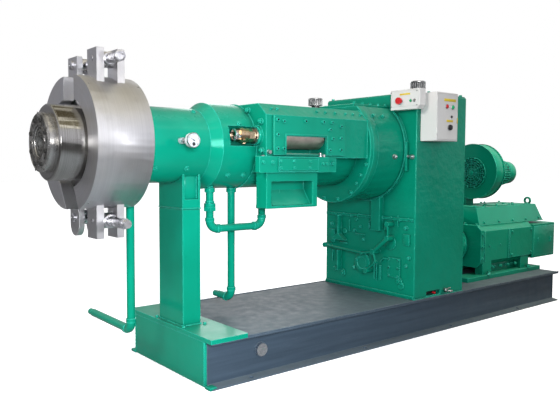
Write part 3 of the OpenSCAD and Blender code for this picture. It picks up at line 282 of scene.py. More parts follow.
def satin(name, base, roughness=0.45, dirt=0.12):
    """Powder coat or plastic with a light handling stain."""
    s = Shader(name)
    stain = s.ramp(s.noise(7, 7, 0.65), 0.5, 0.8, 0, dirt)
    color = s.mix(stain, base, shade(base, 0.6))
    rough = s.ramp(s.noise(30, 4), 0.3, 0.7, roughness, roughness + 0.1)
    return s.finish(color, rough, s.bump(s.noise(260, 2), 0.0003, 0.3), Specular_IOR_Level=0.35)


GREEN = (0.002, 0.25, 0.15)
GREEN_DEEP = (0.0015, 0.205, 0.118)

FINISHES = {
    "green_enamel": (enamel, GREEN, GREEN_DEEP),
    "cast_green": (enamel, GREEN, GREEN_DEEP, 0.005, 0.15),
    "base_paint": (primer, (0.06, 0.085, 0.112), (0.034, 0.05, 0.068), (0.115, 0.14, 0.15)),
    "brushed_ring": (turned_steel, (0.74, 0.74, 0.77), (0.66, 0.66, 0.69), 0.4),
    "bright_steel": (plain_metal, (0.8, 0.8, 0.84), 0.22),
    "turned_steel": (turned_steel, (0.46, 0.455, 0.45), (0.29, 0.285, 0.28), 0.12, (0.26, 0.24, 0.2), 0.4,
                     0.00008),
    "oxidised_steel": (dark_steel,),
    "roll_steel": (plain_metal, (0.86, 0.76, 0.7), 0.5, 24),
    "union_brass": (plain_metal, (0.72, 0.55, 0.37), 0.22),
    "zinc_plate": (plain_metal, (0.5, 0.5, 0.5), 0.3, 20),
    "breather_mesh": (plain_metal, (0.13, 0.13, 0.13), 0.4, 20),
    "box_paint": (satin, (0.74, 0.70, 0.66)),
    "stop_red": (satin, (0.62, 0.02, 0.025), 0.22, 0.05),
    "gauge_face": (satin, (0.49, 0.49, 0.48), 0.4, 0.06),
    "black_plastic": (satin, (0.018, 0.018, 0.02), 0.3, 0),
    "label_yellow": (satin, (0.75, 0.55, 0.05), 0.5, 0.05),
    "lamp_green": (satin, (0.02, 0.42, 0.16), 0.2, 0),
    # dark_recess: near-black that paints the shade inside screw sockets, the drain slot and the fan cap.
    "dark_recess": (satin, (0.004, 0.007, 0.007), 0.7, 0),
    "sooty_steel": (satin, (0.05, 0.048, 0.045), 0.42, 0.75),
    "rubber_black": (satin, (0.022, 0.02, 0.018), 0.5, 0.3),
}
paint = {name: make(name, *values) for name, (make, *values) in FINISHES.items()}

CAST_NODES = {"gear_case", "case_front_ribs", "neck", "feed_box", "motor_frame"}
slot_of = {row["node"]: row["material_slot"] for row in frame["record"]["subparts"]}

# Width in millimetres of the rounding on the edges of the nodes
EDGE_NODES = {
    1.5: "deck_plate die_body sill_panel",
    2: "base_cross_members front_end_plate rear_end_plate barrel_saddle",
    2.5: "base_beam_near base_beam_far clamp_ring_near clamp_ring_far",
    3: ("post_foot_plate feed_cover feed_sill neck_cover case_front_ribs control_box_side "
        "control_box_front coupling_guard motor_sub_base blower_scroll blower_motor"),
    4: "neck",
    5: "discharge_chute",
    6: "feed_box motor_end_box",
    7: "motor_top_cover",
    8: "front_post motor_frame",
    9: "gear_case",
}
EDGE = {node: width * MM for width, names in EDGE_NODES.items() for node in names.split()}


def dress(name, obj):
    """Gives a CAD node its finish, and rounds its sharp edges a little."""
    material = paint["cast_green"] if name in CAST_NODES else paint[slot_of[name]]
    if name == "breather_caps":
        material = paint["breather_mesh"]
    obj.data.materials.clear()
    obj.data.materials.append(material)
    if name not in EDGE:
        return
    weld = obj.modifiers.new("weld", "WELD")
    weld.merge_threshold = 0.00005
    rounding = obj.modifiers.new("rounding", "BEVEL")
    rounding.width = EDGE[name]
    rounding.segments = 2
    rounding.limit_method = "ANGLE"
    rounding.angle_limit = math.radians(32)
    rounding.harden_normals = True


for node_name, node_object in nodes.items():
    dress(node_name, node_object)


# Mesh helpers


class Piece:
    """Places are points in metres; all lengths are in millimetres.
    """

    def __init__(self, name, material, slot=None, body=BODY):
        self.name, self.body = name, body
        self.materials = [material]
        self.slot = slot or material
        self.bm = bmesh.new()
        self.current = 0

    def use(self, material):
        if material not in self.materials:
            self.materials.append(material)
        self.current = self.materials.index(material)
        return self

    def mark(self, faces):
        """Gives new faces the material in use."""
        for face in faces:
            face.material_index = self.current

    def lathe(self, place, axis, profile, count=32, ends="caps", turn=0):
        """Revolves (radius, height) points about an axis, with count sides.

        The ends are closed with caps, joined to a hollow ring, or left open.
        """
        frame_of = axis_frame(place, axis, turn)
        rings = []
        for radius, height in profile:
            turns = angles(count) if radius else [0]
            rings.append([self.bm.verts.new(frame_of @ on_circle(radius, a, height)) for a in turns])
        faces = []
        pairs = list(zip(rings, rings[1:]))
        if ends == "ring":
            pairs.append((rings[-1], rings[0]))
        for low, high in pairs:
            for i in range(count):
                j = (i + 1) % count
                if len(low) == 1 and len(high) == 1:
                    continue
                if len(low) == 1:
                    corners = (low[0], high[j], high[i])
                elif len(high) == 1:
                    corners = (low[i], low[j], high[0])
                else:
                    corners = (low[i], low[j], high[j], high[i])
                faces.append(self.bm.faces.new(corners))
        for ring, flip in ((rings[0], True), (rings[-1], False)):
            if len(ring) > 2 and ends == "caps":
                faces.append(self.bm.faces.new(list(reversed(ring)) if flip else ring))
        self.mark(faces)

    def hex_bolt(self, place, axis, across, height, washer=True, stud=0, turn=None):
        """Hexagon head with a chamfered top, on a washer."""
        turn = random.uniform(0, math.pi / 3) if turn is None else turn
        base = 0
        if washer:
            base = across * 0.12
            r = across * 0.62
            self.lathe(place, axis, [(r, -0.5), (r, base * 0.8), (r * 0.97, base), (0, base)], 24)
        corner = across / math.sqrt(3)
        top = base + height
        self.lathe(place, axis,
            [(corner, base), (corner, top - height * 0.16), (corner * 0.86, top), (0, top)], 6, turn=turn)
        if stud:
            r = across * 0.29
            self.lathe(place, axis,
                [(r, top - 1), (r, top + stud - 1), (r * 0.8, top + stud), (0, top + stud)], 16)

    def hex_bolts(self, x, y, z, axis, across, height, **more):
        """Bolts at all combinations of the given stations, depths and heights."""
        for spot in product(*(c if isinstance(c, (tuple, range)) else (c,) for c in (x, y, z))):
            self.hex_bolt(at(*spot), axis, across, height, **more)

    def socket_bolt(self, place, axis, diameter, height):
        """Cylinder head screw with a chamfer and a hexagon socket."""
        r = diameter / 2
        keep = self.current
        self.lathe(place, axis,
            [(r, -0.5), (r, height * 0.85), (r * 0.9, height), (r * 0.52, height)], 20, "ring")
        # The hexagon socket is painted near-black as its shade.
        self.use("dark_recess")
        self.lathe(place, axis,
            [(r * 0.52, height + 0.2), (r * 0.5, height * 0.45), (0, height * 0.4)], 6, "open")
        self.current = keep

    def box(self, low, high, bevel=1):
        """Block between two corners, with rounded edges."""
        size = high - low
        made = bmesh.ops.create_cube(self.bm, size=1,
            matrix=Matrix.Translation((low + high) / 2) @ Matrix.Diagonal((*size, 1)))
        faces = {f for v in made["verts"] for f in v.link_faces}
        edges = {e for v in made["verts"] for e in v.link_edges}
        if bevel:
            done = bmesh.ops.bevel(self.bm, geom=list(edges), offset=bevel * MM, segments=2,
                profile=0.5, affect="EDGES")
            faces = {f for f in faces if f.is_valid} | set(done["faces"])
        self.mark(faces)

    def tube(self, points, radius, segments=16, ripple=0, step=None):
        """Round bar along a line of points; ripple makes the scales of a weld bead."""
        path = resample(points, step * MM) if step else points
        rings = []
        side = None
        for i, spot in enumerate(path):
            ahead = (path[min(i + 1, len(path) - 1)] - path[max(i - 1, 0)]).normalized()
            if side is None:
                side = ahead.orthogonal().normalized()
            side = (side - ahead * side.dot(ahead)).normalized()
            up = ahead.cross(side)
            r = radius * MM * (1 + ripple * (math.sin(i * 1.9) * 0.5 + random.uniform(-0.5, 0.5)))
            rings.append([self.bm.verts.new(spot + (side * math.cos(a) + up * math.sin(a)) * r)
                for a in angles(segments)])
        faces = []
        for low, high in zip(rings, rings[1:]):
            for k in range(segments):
                j = (k + 1) % segments
                faces.append(self.bm.faces.new((low[k], low[j], high[j], high[k])))
        faces.append(self.bm.faces.new(list(reversed(rings[0]))))
        faces.append(self.bm.faces.new(rings[-1]))
        self.mark(faces)

    def ring_bead(self, place, axis, reach, radius, start=0, end=360, ripple=0.25, step=4, segments=8):
        """Bead along an arc about an axis."""
        frame_of = axis_frame(place, axis)
        count = max(8, int(math.radians(end - start) * reach / step))
        turns = [math.radians(start + (end - start) * i / count) for i in range(count + 1)]
        self.tube([frame_of @ on_circle(reach, a) for a in turns], radius, segments, ripple)

    def finish(self):
        bmesh.ops.recalc_face_normals(self.bm, faces=self.bm.faces)
        mesh = bpy.data.meshes.new(self.name)
        self.bm.to_mesh(mesh)
        self.bm.free()
        obj = bpy.data.objects.new(self.name, mesh)
        bpy.context.scene.collection.objects.link(obj)
        for material in self.materials:
            mesh.materials.append(paint[material])
        mesh.set_sharp_from_angle(angle=math.radians(38))
        for polygon in mesh.polygons:
            polygon.use_smooth = True
        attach(obj, self.body)


def axis_frame(place, axis, turn=0):
    """Frame at a place whose Z points along an axis."""
    return (Matrix.Translation(place) @ axis.normalized().to_track_quat("Z", "Y").to_matrix().to_4x4()
        @ Matrix.Rotation(turn, 4, "Z"))


def resample(points, step):
    """Evenly spaced points along a line of points."""
    out = [points[0]]
    for a, b in zip(points, points[1:]):
        count = max(1, round((b - a).length / step))
        out += [a.lerp(b, i / count) for i in range(1, count + 1)]
    return out


def bend(corner, a, b, radius, count):
    """Points of a quarter bend at a corner between two directions."""
    reach = radius * MM
    centre = corner + (a + b) * reach
    return [centre - b * reach * math.cos(t) - a * reach * math.sin(t)
        for t in (math.pi / 2 * i / count for i in range(count + 1))]


def angles(count, start=0):
    """Evenly spaced angles round a circle, begun at a share of one step."""
    return [math.tau * (k + start) / count for k in range(count)]


def on_circle(radius, turn, height=0):
    """Point of a circle about Z, from millimetres."""
    return Vector((radius * MM * math.cos(turn), radius * MM * math.sin(turn), height * MM))


def outward(turn):
    """Direction at an angle about a line along X."""
    return Vector((0, math.cos(turn), math.sin(turn)))


def side_box(p, side, low, high, bevel):
    """Block on the near (-1) or far (1) side, between two corners given for the far side."""
    y0, y1 = sorted((side * low[1], side * high[1]))
    p.box(at(low[0], y0, low[2]), at(high[0], y1, high[2]), bevel)


def piece(material="green_enamel", slot=None):
    """Decorator: runs the function at once on a new piece, which gets the function's name."""
    def build(details):
        p = Piece(details.__name__, material, slot)
        details(p)
        p.finish()
        return details
    return build


X, Y, Z = Vector((1, 0, 0)), Vector((0, 1, 0)), Vector((0, 0, 1))
FRONT, NEAR = -X, -Y


# Feed housing: screws of the cover, the panel, the sill and the shoulder


@piece()
def cover_screws(p):
    spots = [(452, z) for z in (1277, 1202, 1130)] + [(492, z) for z in (1270, 1130)]
    spots += [(640, 1277), (766, 1277), (831, 1277), (817, 1238), (900, 1259), (838, 1190), (817, 1127),
        (900, 1130), (900, 1195)]
    for x, z in spots:
        p.socket_bolt(at(x, -315, z), NEAR, 20, 10)


@piece()
def panel_screws(p):
    p.hex_bolts((452, 541, 650), -343, (1066, 1032), NEAR, 13, 8)
    p.tube([at(441, -343, 1013), at(710, -343, 1013), at(710, -343, 1085), at(441, -343, 1085),
        at(441, -343, 1013)], 1.8, 6)
    p.hex_bolts((345, 405), -335, 1060, NEAR, 16, 10)
    p.hex_bolts((748, 772), -335, 1052, NEAR, 16, 10)
    p.hex_bolts((815, 850), -300, 1054, NEAR, 18, 11)


@piece()
def shoulder_screws(p):
    """Row of bolts on the sloped shoulders of the housing, on both sides."""
    slope = Vector((0, 60, 70)).normalized()
    for side in (-1, 1):
        axis = Vector((0, side * slope.y, slope.z))
        p.hex_bolts((452, 490, 766, 831, 905, 985, 1045, 1105), side * 262, 1333, axis, 15, 9)


@piece()
def front_flange_bolts(p):
    """Nuts on studs round the jacket, on the front face of the housing."""
    for y, z in ((-262, 1268), (-150, 1330), (0, 1338), (150, 1330), (262, 1268), (262, 1120), (-272, 1120),
            (262, 1040), (150, 1332)):
        p.hex_bolt(at(392, y, z), FRONT, 26, 14, stud=8)


@piece("bright_steel")
def bright_nuts(p):
    """The plated screws that catch the light beside the barrel and on the neck."""
    p.hex_bolt(at(392, -276, 1085), FRONT, 24, 14, stud=6)
    p.hex_bolt(at(408, -300, 1112), NEAR, 20, 12)
    p.hex_bolt(at(1132, -276, 1301), FRONT, 22, 12)
    p.hex_bolt(at(1351, -312, 1098), Vector((0, -312, -45)), 24, 13, stud=6)
    p.hex_bolt(at(1448, -335, 1100), NEAR, 14, 8)
    p.hex_bolt(at(1460, -362, 1097), FRONT, 24, 13, stud=6)


@piece()
def housing_welds(p):
    """Weld beads where the housing meets the neck flange, the sill and the chute."""
    p.tube([at(1129, -300, 1090), at(1129, -300, 1302), at(1129, -230, 1362), at(1129, 230, 1362),
        at(1129, 300, 1302), at(1129, 300, 1090)], 4, 8, 0.25, 5)
    p.tube([at(386, -315, 1008.5), at(728, -315, 1008.5)], 3.5, 8, 0.25, 5)
    p.tube([at(324, -301, 1089), at(794, -301, 1089)], 3, 8, 0.25, 5)


@piece()
def window_trim(p):
    """Lip round the feed window with a bright scraper bar under the roll."""
    for low, high in ((at(505, -319, 1200), at(802, -314.6, 1208)),
            (at(796, -319, 1101), at(804, -314.6, 1200)), (at(503, -319, 1101), at(511, -314.6, 1200))):
        p.box(low, high, 1)
    p.use("roll_steel").box(at(513, -296, 1101.5), at(794, -240, 1107), 1)


@piece("bright_steel")
def sill_latch(p):
    """Small plated latch on the lower edge of the window."""
    p.lathe(at(735, -330, 1090), Z, [(9, 0), (9, 5), (5, 7), (5, 12), (8, 15), (8, 20), (5, 23), (0, 24)], 20)
    p.lathe(at(762, -330, 1090), Z, [(6, 0), (6, 10), (4, 13), (0, 13)], 16)
    p.box(at(735, -332, 1094), at(762, -328, 1098), 0.8)


# Neck


@piece()
def neck_bolts(p):
    """Bolts round both neck flanges and along the neck cover."""
    for y, z in ((-289, 1186), (-292, 1050), (-251, 988), (-216, 938)):
        p.hex_bolt(at(1132, y, z), FRONT, 18, 10)
    for a in angles(16, 0.5):
        z = AXIS + 309 * math.sin(a)
        if z < 1388 and not (math.cos(a) < 0 and abs(z - AXIS) < 250):
            p.hex_bolt(around(1132, 309, a), FRONT, 20, 11)
    p.hex_bolts((1160, 1230, 1300, 1370, 1434), (-160, 160), 1412, Z, 17, 10)
    p.hex_bolts((1225, 1310), -250, 1337, Vector((0, -250, 194)), 20, 12)


@piece()
def neck_bar(p):
    """Shallow bar on the rear flange, and beads at the flanges."""
    p.box(at(1436, -335, 1014), at(1459.7, -318, 1190), 3)
    for x, r in ((1135, 324.5), (1159, 324.5), (1212, 315), (1434, 324.5), (1457, 324.5)):
        p.ring_bead(at(x, 0, AXIS), X, r, 3, 142, 398, ripple=0, step=20)


# Barrel and head


@piece()
def barrel_plugs(p):
    for x, angle, r in ((-150, -38, 188), (20, -38, 188), (95, 62, 188), (300, 30, 222),
            (250, -42, 222), (345, -42, 222)):
        a = math.radians(angle)
        axis = Vector((0, -math.cos(a), math.sin(a)))
        spot = around(x, r, math.pi - a)
        p.lathe(spot, axis, [(15, -4), (15, 2), (13.5, 3), (0, 3)], 24)
        p.hex_bolt(spot + axis * 3 * MM, axis, 17, 8, washer=False)
    for x, reach, radius in ((188, 221.5, 2), (134, 188.5, 2), (391, 224, 3.5)):
        p.ring_bead(at(x, 0, AXIS), X, reach, radius)


@piece("bright_steel", "gauge_face")
def gauge(p):
    """Dial thermometer: rim, white face with marks and a needle."""
    centre = at(-35, -301, 1160)
    p.lathe(centre, NEAR, [(33.6, 0), (35, 2), (35, 6), (33, 8.5), (31.5, 8.5), (30.5, 6), (0, 6)], 48)
    p.use("gauge_face")
    face = centre + NEAR * 6.2 * MM
    p.lathe(face, NEAR, [(30.4, 0), (30.4, 0.4), (0, 0.4)], 48)
    p.use("black_plastic")

    def mark(degrees, height, outline):
        """Flat shape on the face, from points along and across a direction."""
        a = math.radians(degrees)
        out, across = Vector((math.sin(a), 0, math.cos(a))), Vector((math.cos(a), 0, -math.sin(a)))
        front = face + NEAR * height * MM
        corners = [front + out * r * MM + across * w * MM for r, w in outline]
        p.mark([p.bm.faces.new([p.bm.verts.new(c) for c in corners])])

    for i in range(21):
        inner, wide = (25.5, 0.75) if i % 5 else (23, 1.3)
        mark(-135 + 270 * i / 20, 0.45, ((inner, -wide), (inner, wide), (28, wide), (28, -wide)))
    p.lathe(face - Z * 17 * MM, NEAR, [(8.5, 0.2), (8.5, 0.7), (0, 0.7)], 24)
    mark(-60, 1.2, ((-8, -2.2), (-8, 2.2), (22, 0.8), (22, -0.8)))
    p.lathe(face, NEAR, [(3.4, 0.3), (3.4, 1.6), (2.6, 2.4), (0, 2.6)], 20)
    p.use("bright_steel")
    p.hex_bolt(at(-35, -209, 1160), NEAR, 26, 14, washer=False, turn=0.2)
    p.hex_bolt(at(-35, -272, 1160), NEAR, 20, 8, washer=False, turn=0.1)


@piece("union_brass")
def union_fittings(p):
    """Brass rings, lock nut and the hose elbow of the rotary union."""
    def ring(x0, x1, r0, r1):
        length = x1 - x0
        p.lathe(at(x0, -225, 1196), X,
            [(r0, 0), (r1, 0.15 * length), (r1, 0.85 * length), (r0, length)], 36, "ring")

    ring(290, 296, 35, 37.5)
    ring(316, 321, 34, 36.6)
    ring(357, 364, 23.5, 32)
    p.use("bright_steel")
    ring(364, 371.8, 24, 44)
    ring(240, 247, 24, 31)
    for a in (45, 135, 225, 315):
        p.socket_bolt(around(247, 25, math.radians(a), -225, 1196), FRONT, 9, 6)
    p.lathe(at(250, -248, 1196), Vector((0, -1, -0.35)),
        [(11, -3), (11, 6), (8, 8), (8, 20), (9.5, 21), (9.5, 27), (6, 28), (6, 20)], 24)
    p.hex_bolt(at(232, -262, 1181), Vector((-0.5, -1, -0.2)), 19, 9, washer=False)
    p.use("union_brass")
    p.hex_bolt(at(306, -225, 1161), -Z, 22, 10, washer=False)
    p.hex_bolt(at(285, -251, 1171), Vector((0, -0.8, -0.6)), 20, 12, washer=False)


@piece("bright_steel")
def clamp_fittings(p):
    """Ends of the swing screws, and the pins they turn on."""
    mid = -364
    for z, lug_end, length in ((1518, 41, 124), (789, 22, 172)):
        end_y = -lug_end - 82.5 - length
        centre = at(mid, end_y, z)
        if z > AXIS:
            p.lathe(centre - NEAR * 4 * MM, NEAR,
                [(24.4, 0), (24.4, 3), (21, 5.5), (13.5, 5.5), (12.5, 4.3), (12.5, 1)], 40)
        else:
            for k in range(9):
                p.lathe(at(mid, end_y - 2 - 3 * k, z), NEAR,
                    [(17.8, 0), (18.6, 0.8), (18.6, 1.4), (17.8, 2.2)], 32, "ring")
        p.lathe(at(mid, -lug_end - 98.6, z), NEAR, [(29, 0), (31, 1.5), (31, 5), (26, 8), (24, 8)], 40)
        eye_y = 168.5
        for x, axis in ((mid - 63.8, FRONT), (mid + 63.6, X)):
            p.lathe(at(x, eye_y, z), axis,
                [(21, -0.5), (21, 1.5), (18, 3.5), (6, 3.5), (5, 2), (0, 2)], 32)
        lug_y = -lug_end - 52.5
        for x, axis in ((mid - 66, FRONT), (mid + 66, X)):
            p.lathe(at(x, lug_y, z), axis,
                [(13, -0.5), (13, 1.2), (11.5, 2.4), (4, 2.4), (3, 1.4), (0, 1.4)], 28)


@piece("brushed_ring")
def ring_screws(p):
    """Set screws on the near half of the clamp ring."""
    for x in (-480, -248):
        for a in (-60, 55):
            t = math.radians(a)
            axis = Vector((0, -math.cos(t), math.sin(t)))
            p.socket_bolt(around(x, 307, math.pi - t) - axis * 2 * MM, axis, 14, 3)


@piece("oxidised_steel")
def nose_ring(p):
    """Rings and screws of the nose, the die insert and the rubber left in its bore."""
    recess, face = at(-627, 0, AXIS), at(-639, 0, AXIS)
    p.lathe(recess, FRONT, [(73.7, 0), (73.7, 6), (71, 8), (68, 8), (66, 5), (66, 1)], 64, "ring")
    p.use("sooty_steel")
    p.lathe(recess, FRONT, [(58, 0), (57, 5), (52, 7), (46, 6), (43, 0)], 64, "ring")
    p.use("oxidised_steel")
    p.lathe(face, FRONT, [(126, 0), (124, 2.2), (121, 2.2), (119, 0)], 96, "ring")
    p.lathe(face, FRONT, [(84, 0), (83, 1.8), (80, 1.8), (79, 0)], 96, "ring")
    p.use("sooty_steel")
    p.lathe(recess, X,
        [(41.9, 30), (41.9, -1), (40, -3), (30, -3), (27, 1), (24, 5), (24, 60), (41.9, 80)], 64, "ring")
    p.use("rubber_black")
    p.lathe(at(-612, 0, AXIS), FRONT, [(24.5, -8), (24.5, 0), (20, 3), (9, 5), (0, 4)], 40)
    for a in angles(8, 0.5):
        p.socket_bolt(around(-640, 103, a), FRONT, 19, 7)


@piece("rubber_black", "oxidised_steel")
def rubber_residue(p):
    """Crumbs of rubber baked on the nose and in its recess."""
    for i in range(170):
        a = random.uniform(0, math.tau)
        r = random.uniform(28, 71) if i % 2 == 0 else random.uniform(76, 128)
        size = random.uniform(1.5, 5)
        in_recess = r < 73.5
        if not in_recess and abs(r - 103) < 11:
            continue
        centre = around(-630.6 if in_recess else -639.6, r, a)
        scale = [random.uniform(*span) for span in ((0.3, 0.6), (0.7, 1.6), (0.7, 1.6))]
        made = bmesh.ops.create_icosphere(p.bm, subdivisions=2, radius=size * MM,
            matrix=Matrix.Translation(centre) @ Matrix.Diagonal((*scale, 1)))
        for v in made["verts"]:
            v.co += (v.co - centre) * random.uniform(-0.25, 0.25)
        p.mark({face for v in made["verts"] for face in v.link_faces})


# Base and post


@piece("base_paint")
def base_welds(p):
    """Welds along the deck, at the rear end plate and round the lifting bar."""
    for side in (-1, 1):
        p.tube([at(200, side * 408, 227.5), at(3178, side * 408, 227.5)], 3, 6, 0.3, 8)
        p.tube([at(3178, side * 361, 18), at(3178, side * 361, 204)], 4, 8, 0.3, 6)
        p.ring_bead(at(312, side * 360.5, 131), Vector((0, side, 0)), 34, 3.5)


@piece()
def post_welds(p):
    """Welds and bolts of the post foot plate and of the saddle."""
    for z, radius in ((243, 4.5), (829, 3.5)):
        p.tube([at(x, y, z) for x, y in ((12, -122), (114, -122), (114, 122), (12, 122), (12, -122))], radius,
            8, 0.3, 6)
    for side in (-1, 1):
        side_box(p, side, (20, 98, 826), (106, 106, 1012), 1.5)
        p.box(at(-13.8, side * 385 - 24, 0.3), at(26, side * 385 + 24, 15), 3)
        for x in (23, 103):
            p.tube([at(x, side * 108, 832), at(x, side * 108, 1002)], 4, 6, 0.3, 8)
    for y in (-353, 353):
        p.tube([at(-11, y, 8), at(-11, y, 219)], 4, 8, 0.3, 6)
    p.hex_bolts((6, 128), (-138, 138), 242, Z, 15, 9)


# Pipes


@piece()
def pipe_fittings(p):
    """Elbow collars, sockets on the barrel and union nuts of the water pipes."""
    def collar(place, axis, r=23.5, h=20):
        p.lathe(place, axis, [(19.9, 0), (r, 1.5), (r, h - 1.5), (19.9, h)], 32, "ring")

    def elbow(corner, a, b):
        p.tube(bend(corner, a, b, 46, 10), 22.2, 24)
        for axis in (a, b):
            collar(corner + axis * 40 * MM, axis, 24.5)

    elbow(at(-208, 0, 236), Y, Z)
    elbow(at(384, 0, 320), Y, Z)
    elbow(at(211, -56, 712), X, Z)
    elbow(at(550, -56, 712), FRONT, Z)
    collar(at(-208, 0, 936), Z, 27, 24)
    collar(at(384, 0, 896), Z, 27, 24)
    for x in (211, 550):
        collar(at(x, -56, 902), Z, 27, 24)
        p.lathe(at(x, -56, 806), Z, [(30 / 0.9, 0), (34.6, 2), (34.6, 20), (31, 22)], 6)
        collar(at(x, -56, 846), Z, 24, 14)


# Gear case


@piece()
def case_bolts(p):
    for y, z, size in ((82, 420, 24), (112, 365, 24), (113, 610, 22), (-166, 648, 24), (-324, 662, 24),
            (330, 640, 22), (-350, 480, 20), (-330, 430, 20), (30, 560, 20), (60, 640, 20)):
        p.hex_bolt(at(1460, y, z), FRONT, size, size * 0.55, stud=size * 0.2)
    for y in range(-350, 351, 70):
        p.hex_bolt(at(1450, y, 714 + (6 if y % 140 else -6)), FRONT, 13, 7, washer=False)
    for z, y in product((356, 458, 407), (-200, -271)):
        p.socket_bolt(at(1450, y, z), FRONT, 15, 8)
    for y, z in ((216, 315), (-277, 326)):
        p.lathe(at(1460, y, z), FRONT, [(24, -1), (24, 8), (22, 10), (15, 10)], 32)
        p.hex_bolt(at(1450, y, z), FRONT, 24, 12, washer=False)


@piece("cast_green", "green_enamel")
def case_castings(p):
    """Round bearing boss, small ribs and pads cast on the front face."""
    p.lathe(at(1461, 40, 405), FRONT, [(70, 0), (70, 9), (66, 12), (40, 12), (37, 8), (0, 8)], 64)
    p.lathe(at(1461, -200, 560), FRONT, [(44, 0), (44, 7), (41, 9), (0, 9)], 48)
    for y, z, w, h in ((330, 560, 60, 90), (-330, 590, 50, 70), (60, 590, 90, 10), (160, 640, 10, 80),
            (-260, 700, 10, 70), (-90, 360, 9, 110), (-60, 650, 70, 9), (250, 690, 9, 60), (210, 520, 70, 9),
            (-20, 660, 9, 50), (320, 420, 9, 80)):
        p.box(at(1450, y - w / 2, z - h / 2), at(1461, y + w / 2, z + h / 2), 3)
    for y, z, r in ((-290, 300, 24), (205, 600, 17), (100, 690, 15), (-120, 655, 14), (300, 330, 17)):
        p.lathe(at(1461, y, z), FRONT, [(r, 0), (r, 6), (0.85 * r, 9), (0.4 * r, 9), (0, 6)], 28)
    p.tube([at(1456, -120, 430), at(1456, -145, 455), at(1456, -250, 455), at(1456, -275, 430),
        at(1456, -275, 330)], 5, 8)
    p.box(at(1452, -388, 228), at(1461, 388, 250), 3)


@piece()
def back_covers(p):
    """Inspection covers on the far side and the rear of the gear case and of the housing."""
    def cover(low, high, axis, inset=16, size=15):
        """Plate with a row of bolts along its edges."""
        p.box(low, high, 3)
        wall = max(range(3), key=lambda i: abs(axis[i]))
        spans = [i for i in range(3) if i != wall]
        face = high[wall] if axis[wall] > 0 else low[wall]
        counts = [max(2, round((high[i] - low[i]) / 0.11) + 1) for i in spans]
        for i in range(counts[0]):
            for k in range(counts[1]):
                if 0 < i < counts[0] - 1 and 0 < k < counts[1] - 1:
                    continue
                spot = Vector((0, 0, 0))
                spot[wall] = face
                for n, step, count in ((spans[0], i, counts[0]), (spans[1], k, counts[1])):
                    a, b = low[n] + inset * MM, high[n] - inset * MM
                    spot[n] = a + (b - a) * step / (count - 1)
                p.hex_bolt(spot, axis, size, size * 0.55)

    cover(at(1560, 389, 900), at(1850, 397, 1240), Y)
    cover(at(1560, 389, 420), at(1850, 397, 640), Y)
    cover(at(1952, -260, 820), at(1962, 60, 1120), X)
    cover(at(470, 299, 1120), at(850, 309, 1280), Y)
    for y, z in ((150, 900), (150, 980), (-330, 700), (-330, 1200), (330, 700), (330, 1200)):
        p.hex_bolt(at(1953, y, z), X, 24, 13, stud=5)
    for z in (760, 860):
        p.lathe(at(1953, 250, z), X, [(24, -1), (24, 6), (21, 9), (15, 9), (14, 7), (0, 7)], 36)
    p.tube([at(1953, 250, 700), at(1972, 250, 700), at(1972, 250, 940), at(1953, 250, 940)], 6, 12)


@piece()
def case_welds(p):
    """Weld bead round the foot of the case, and the bolted lid on its top."""
    corners = ((1459, -391), (1954, -391), (1954, 391), (1459, 391), (1459, -391))
    p.tube([at(x, y, 228) for x, y in corners], 4.5, 8, 0.3, 7)
    p.box(at(1466, -384, 1482.5), at(1947, 384, 1487), 2)
    p.hex_bolts((1490, 1600, 1710, 1820, 1925), (-365, 365), 1487, Z, 18, 10)


@piece("dark_recess", "green_enamel")
def drain_valve(p):
    """Near-black sheet painted as the shade in the slot, with the red cap of a drain, and a valve beside it.
    """
    # Thin near-black sheet: painted shade of the slot.
    p.box(at(1588, -362, 238), at(1714, -361, 262), 0)
    p.use("stop_red").lathe(at(1668, -386, 247), NEAR, [(7, -15), (7, 0), (5, 3), (0, 3)], 20)
    p.use("zinc_plate")
    p.lathe(at(1760, -390, 255), NEAR, [(13, -1), (13, 8), (9, 9), (9, 22), (0, 22)], 24)
    p.hex_bolt(at(1760, -400, 255), NEAR, 24, 10, washer=False)
    p.tube([at(1760, -412, 255), at(1760, -424, 255), at(1768, -432, 254), at(1784, -432, 252)], 6, 14)
    p.tube([at(1762, -412, 262), at(1772, -412, 268), at(1796, -412, 268)], 3, 10)


@piece("zinc_plate")
def breather_pleats(p):
    """Pleated breathers with a bright rim in the place of the plain caps."""
    for place, d, h in ((at(905, -100, 1362), 76, 66), (at(1763, -150, 1483), 92, 110)):
        r = d / 2
        for share in (0.38, 0.93):
            p.lathe(place + Z * share * h * MM, Z,
                [(r * 0.99, 0), (r * 1.07, h * 0.01), (r * 1.07, h * 0.05), (r * 0.99, h * 0.06)], 48, "ring")
        p.lathe(place + Z * 0.995 * h * MM, Z,
            [(r * 0.94, -1), (r * 0.9, h * 0.03), (r * 0.3, h * 0.045), (0, h * 0.045)], 48)
        p.hex_bolt(place + Z * 0.02 * h * MM, Z, d * 0.8, h * 0.14, washer=False)
        for a in angles(22):
            p.lathe(place + on_circle(r * 1.01, a, h * 0.42), Z, [(3, 0), (3, h * 0.5), (0, h * 0.52)], 8)


# Control boxes


# Profiles of the controls, in shares of the radius and in millimetres
CONTROLS = {
    "button": ((0.95, 0.5), (0.95, 5), (0.8, 6.5), (0, 6.8)),
    "lamp": ((0.95, 0.5), (0.95, 5), (0.75, 8), (0, 9.5)),
    "knob": ((1, 0.5), (1.02, 6), (0.9, 15), (0.8, 17), (0, 17.5)),
}


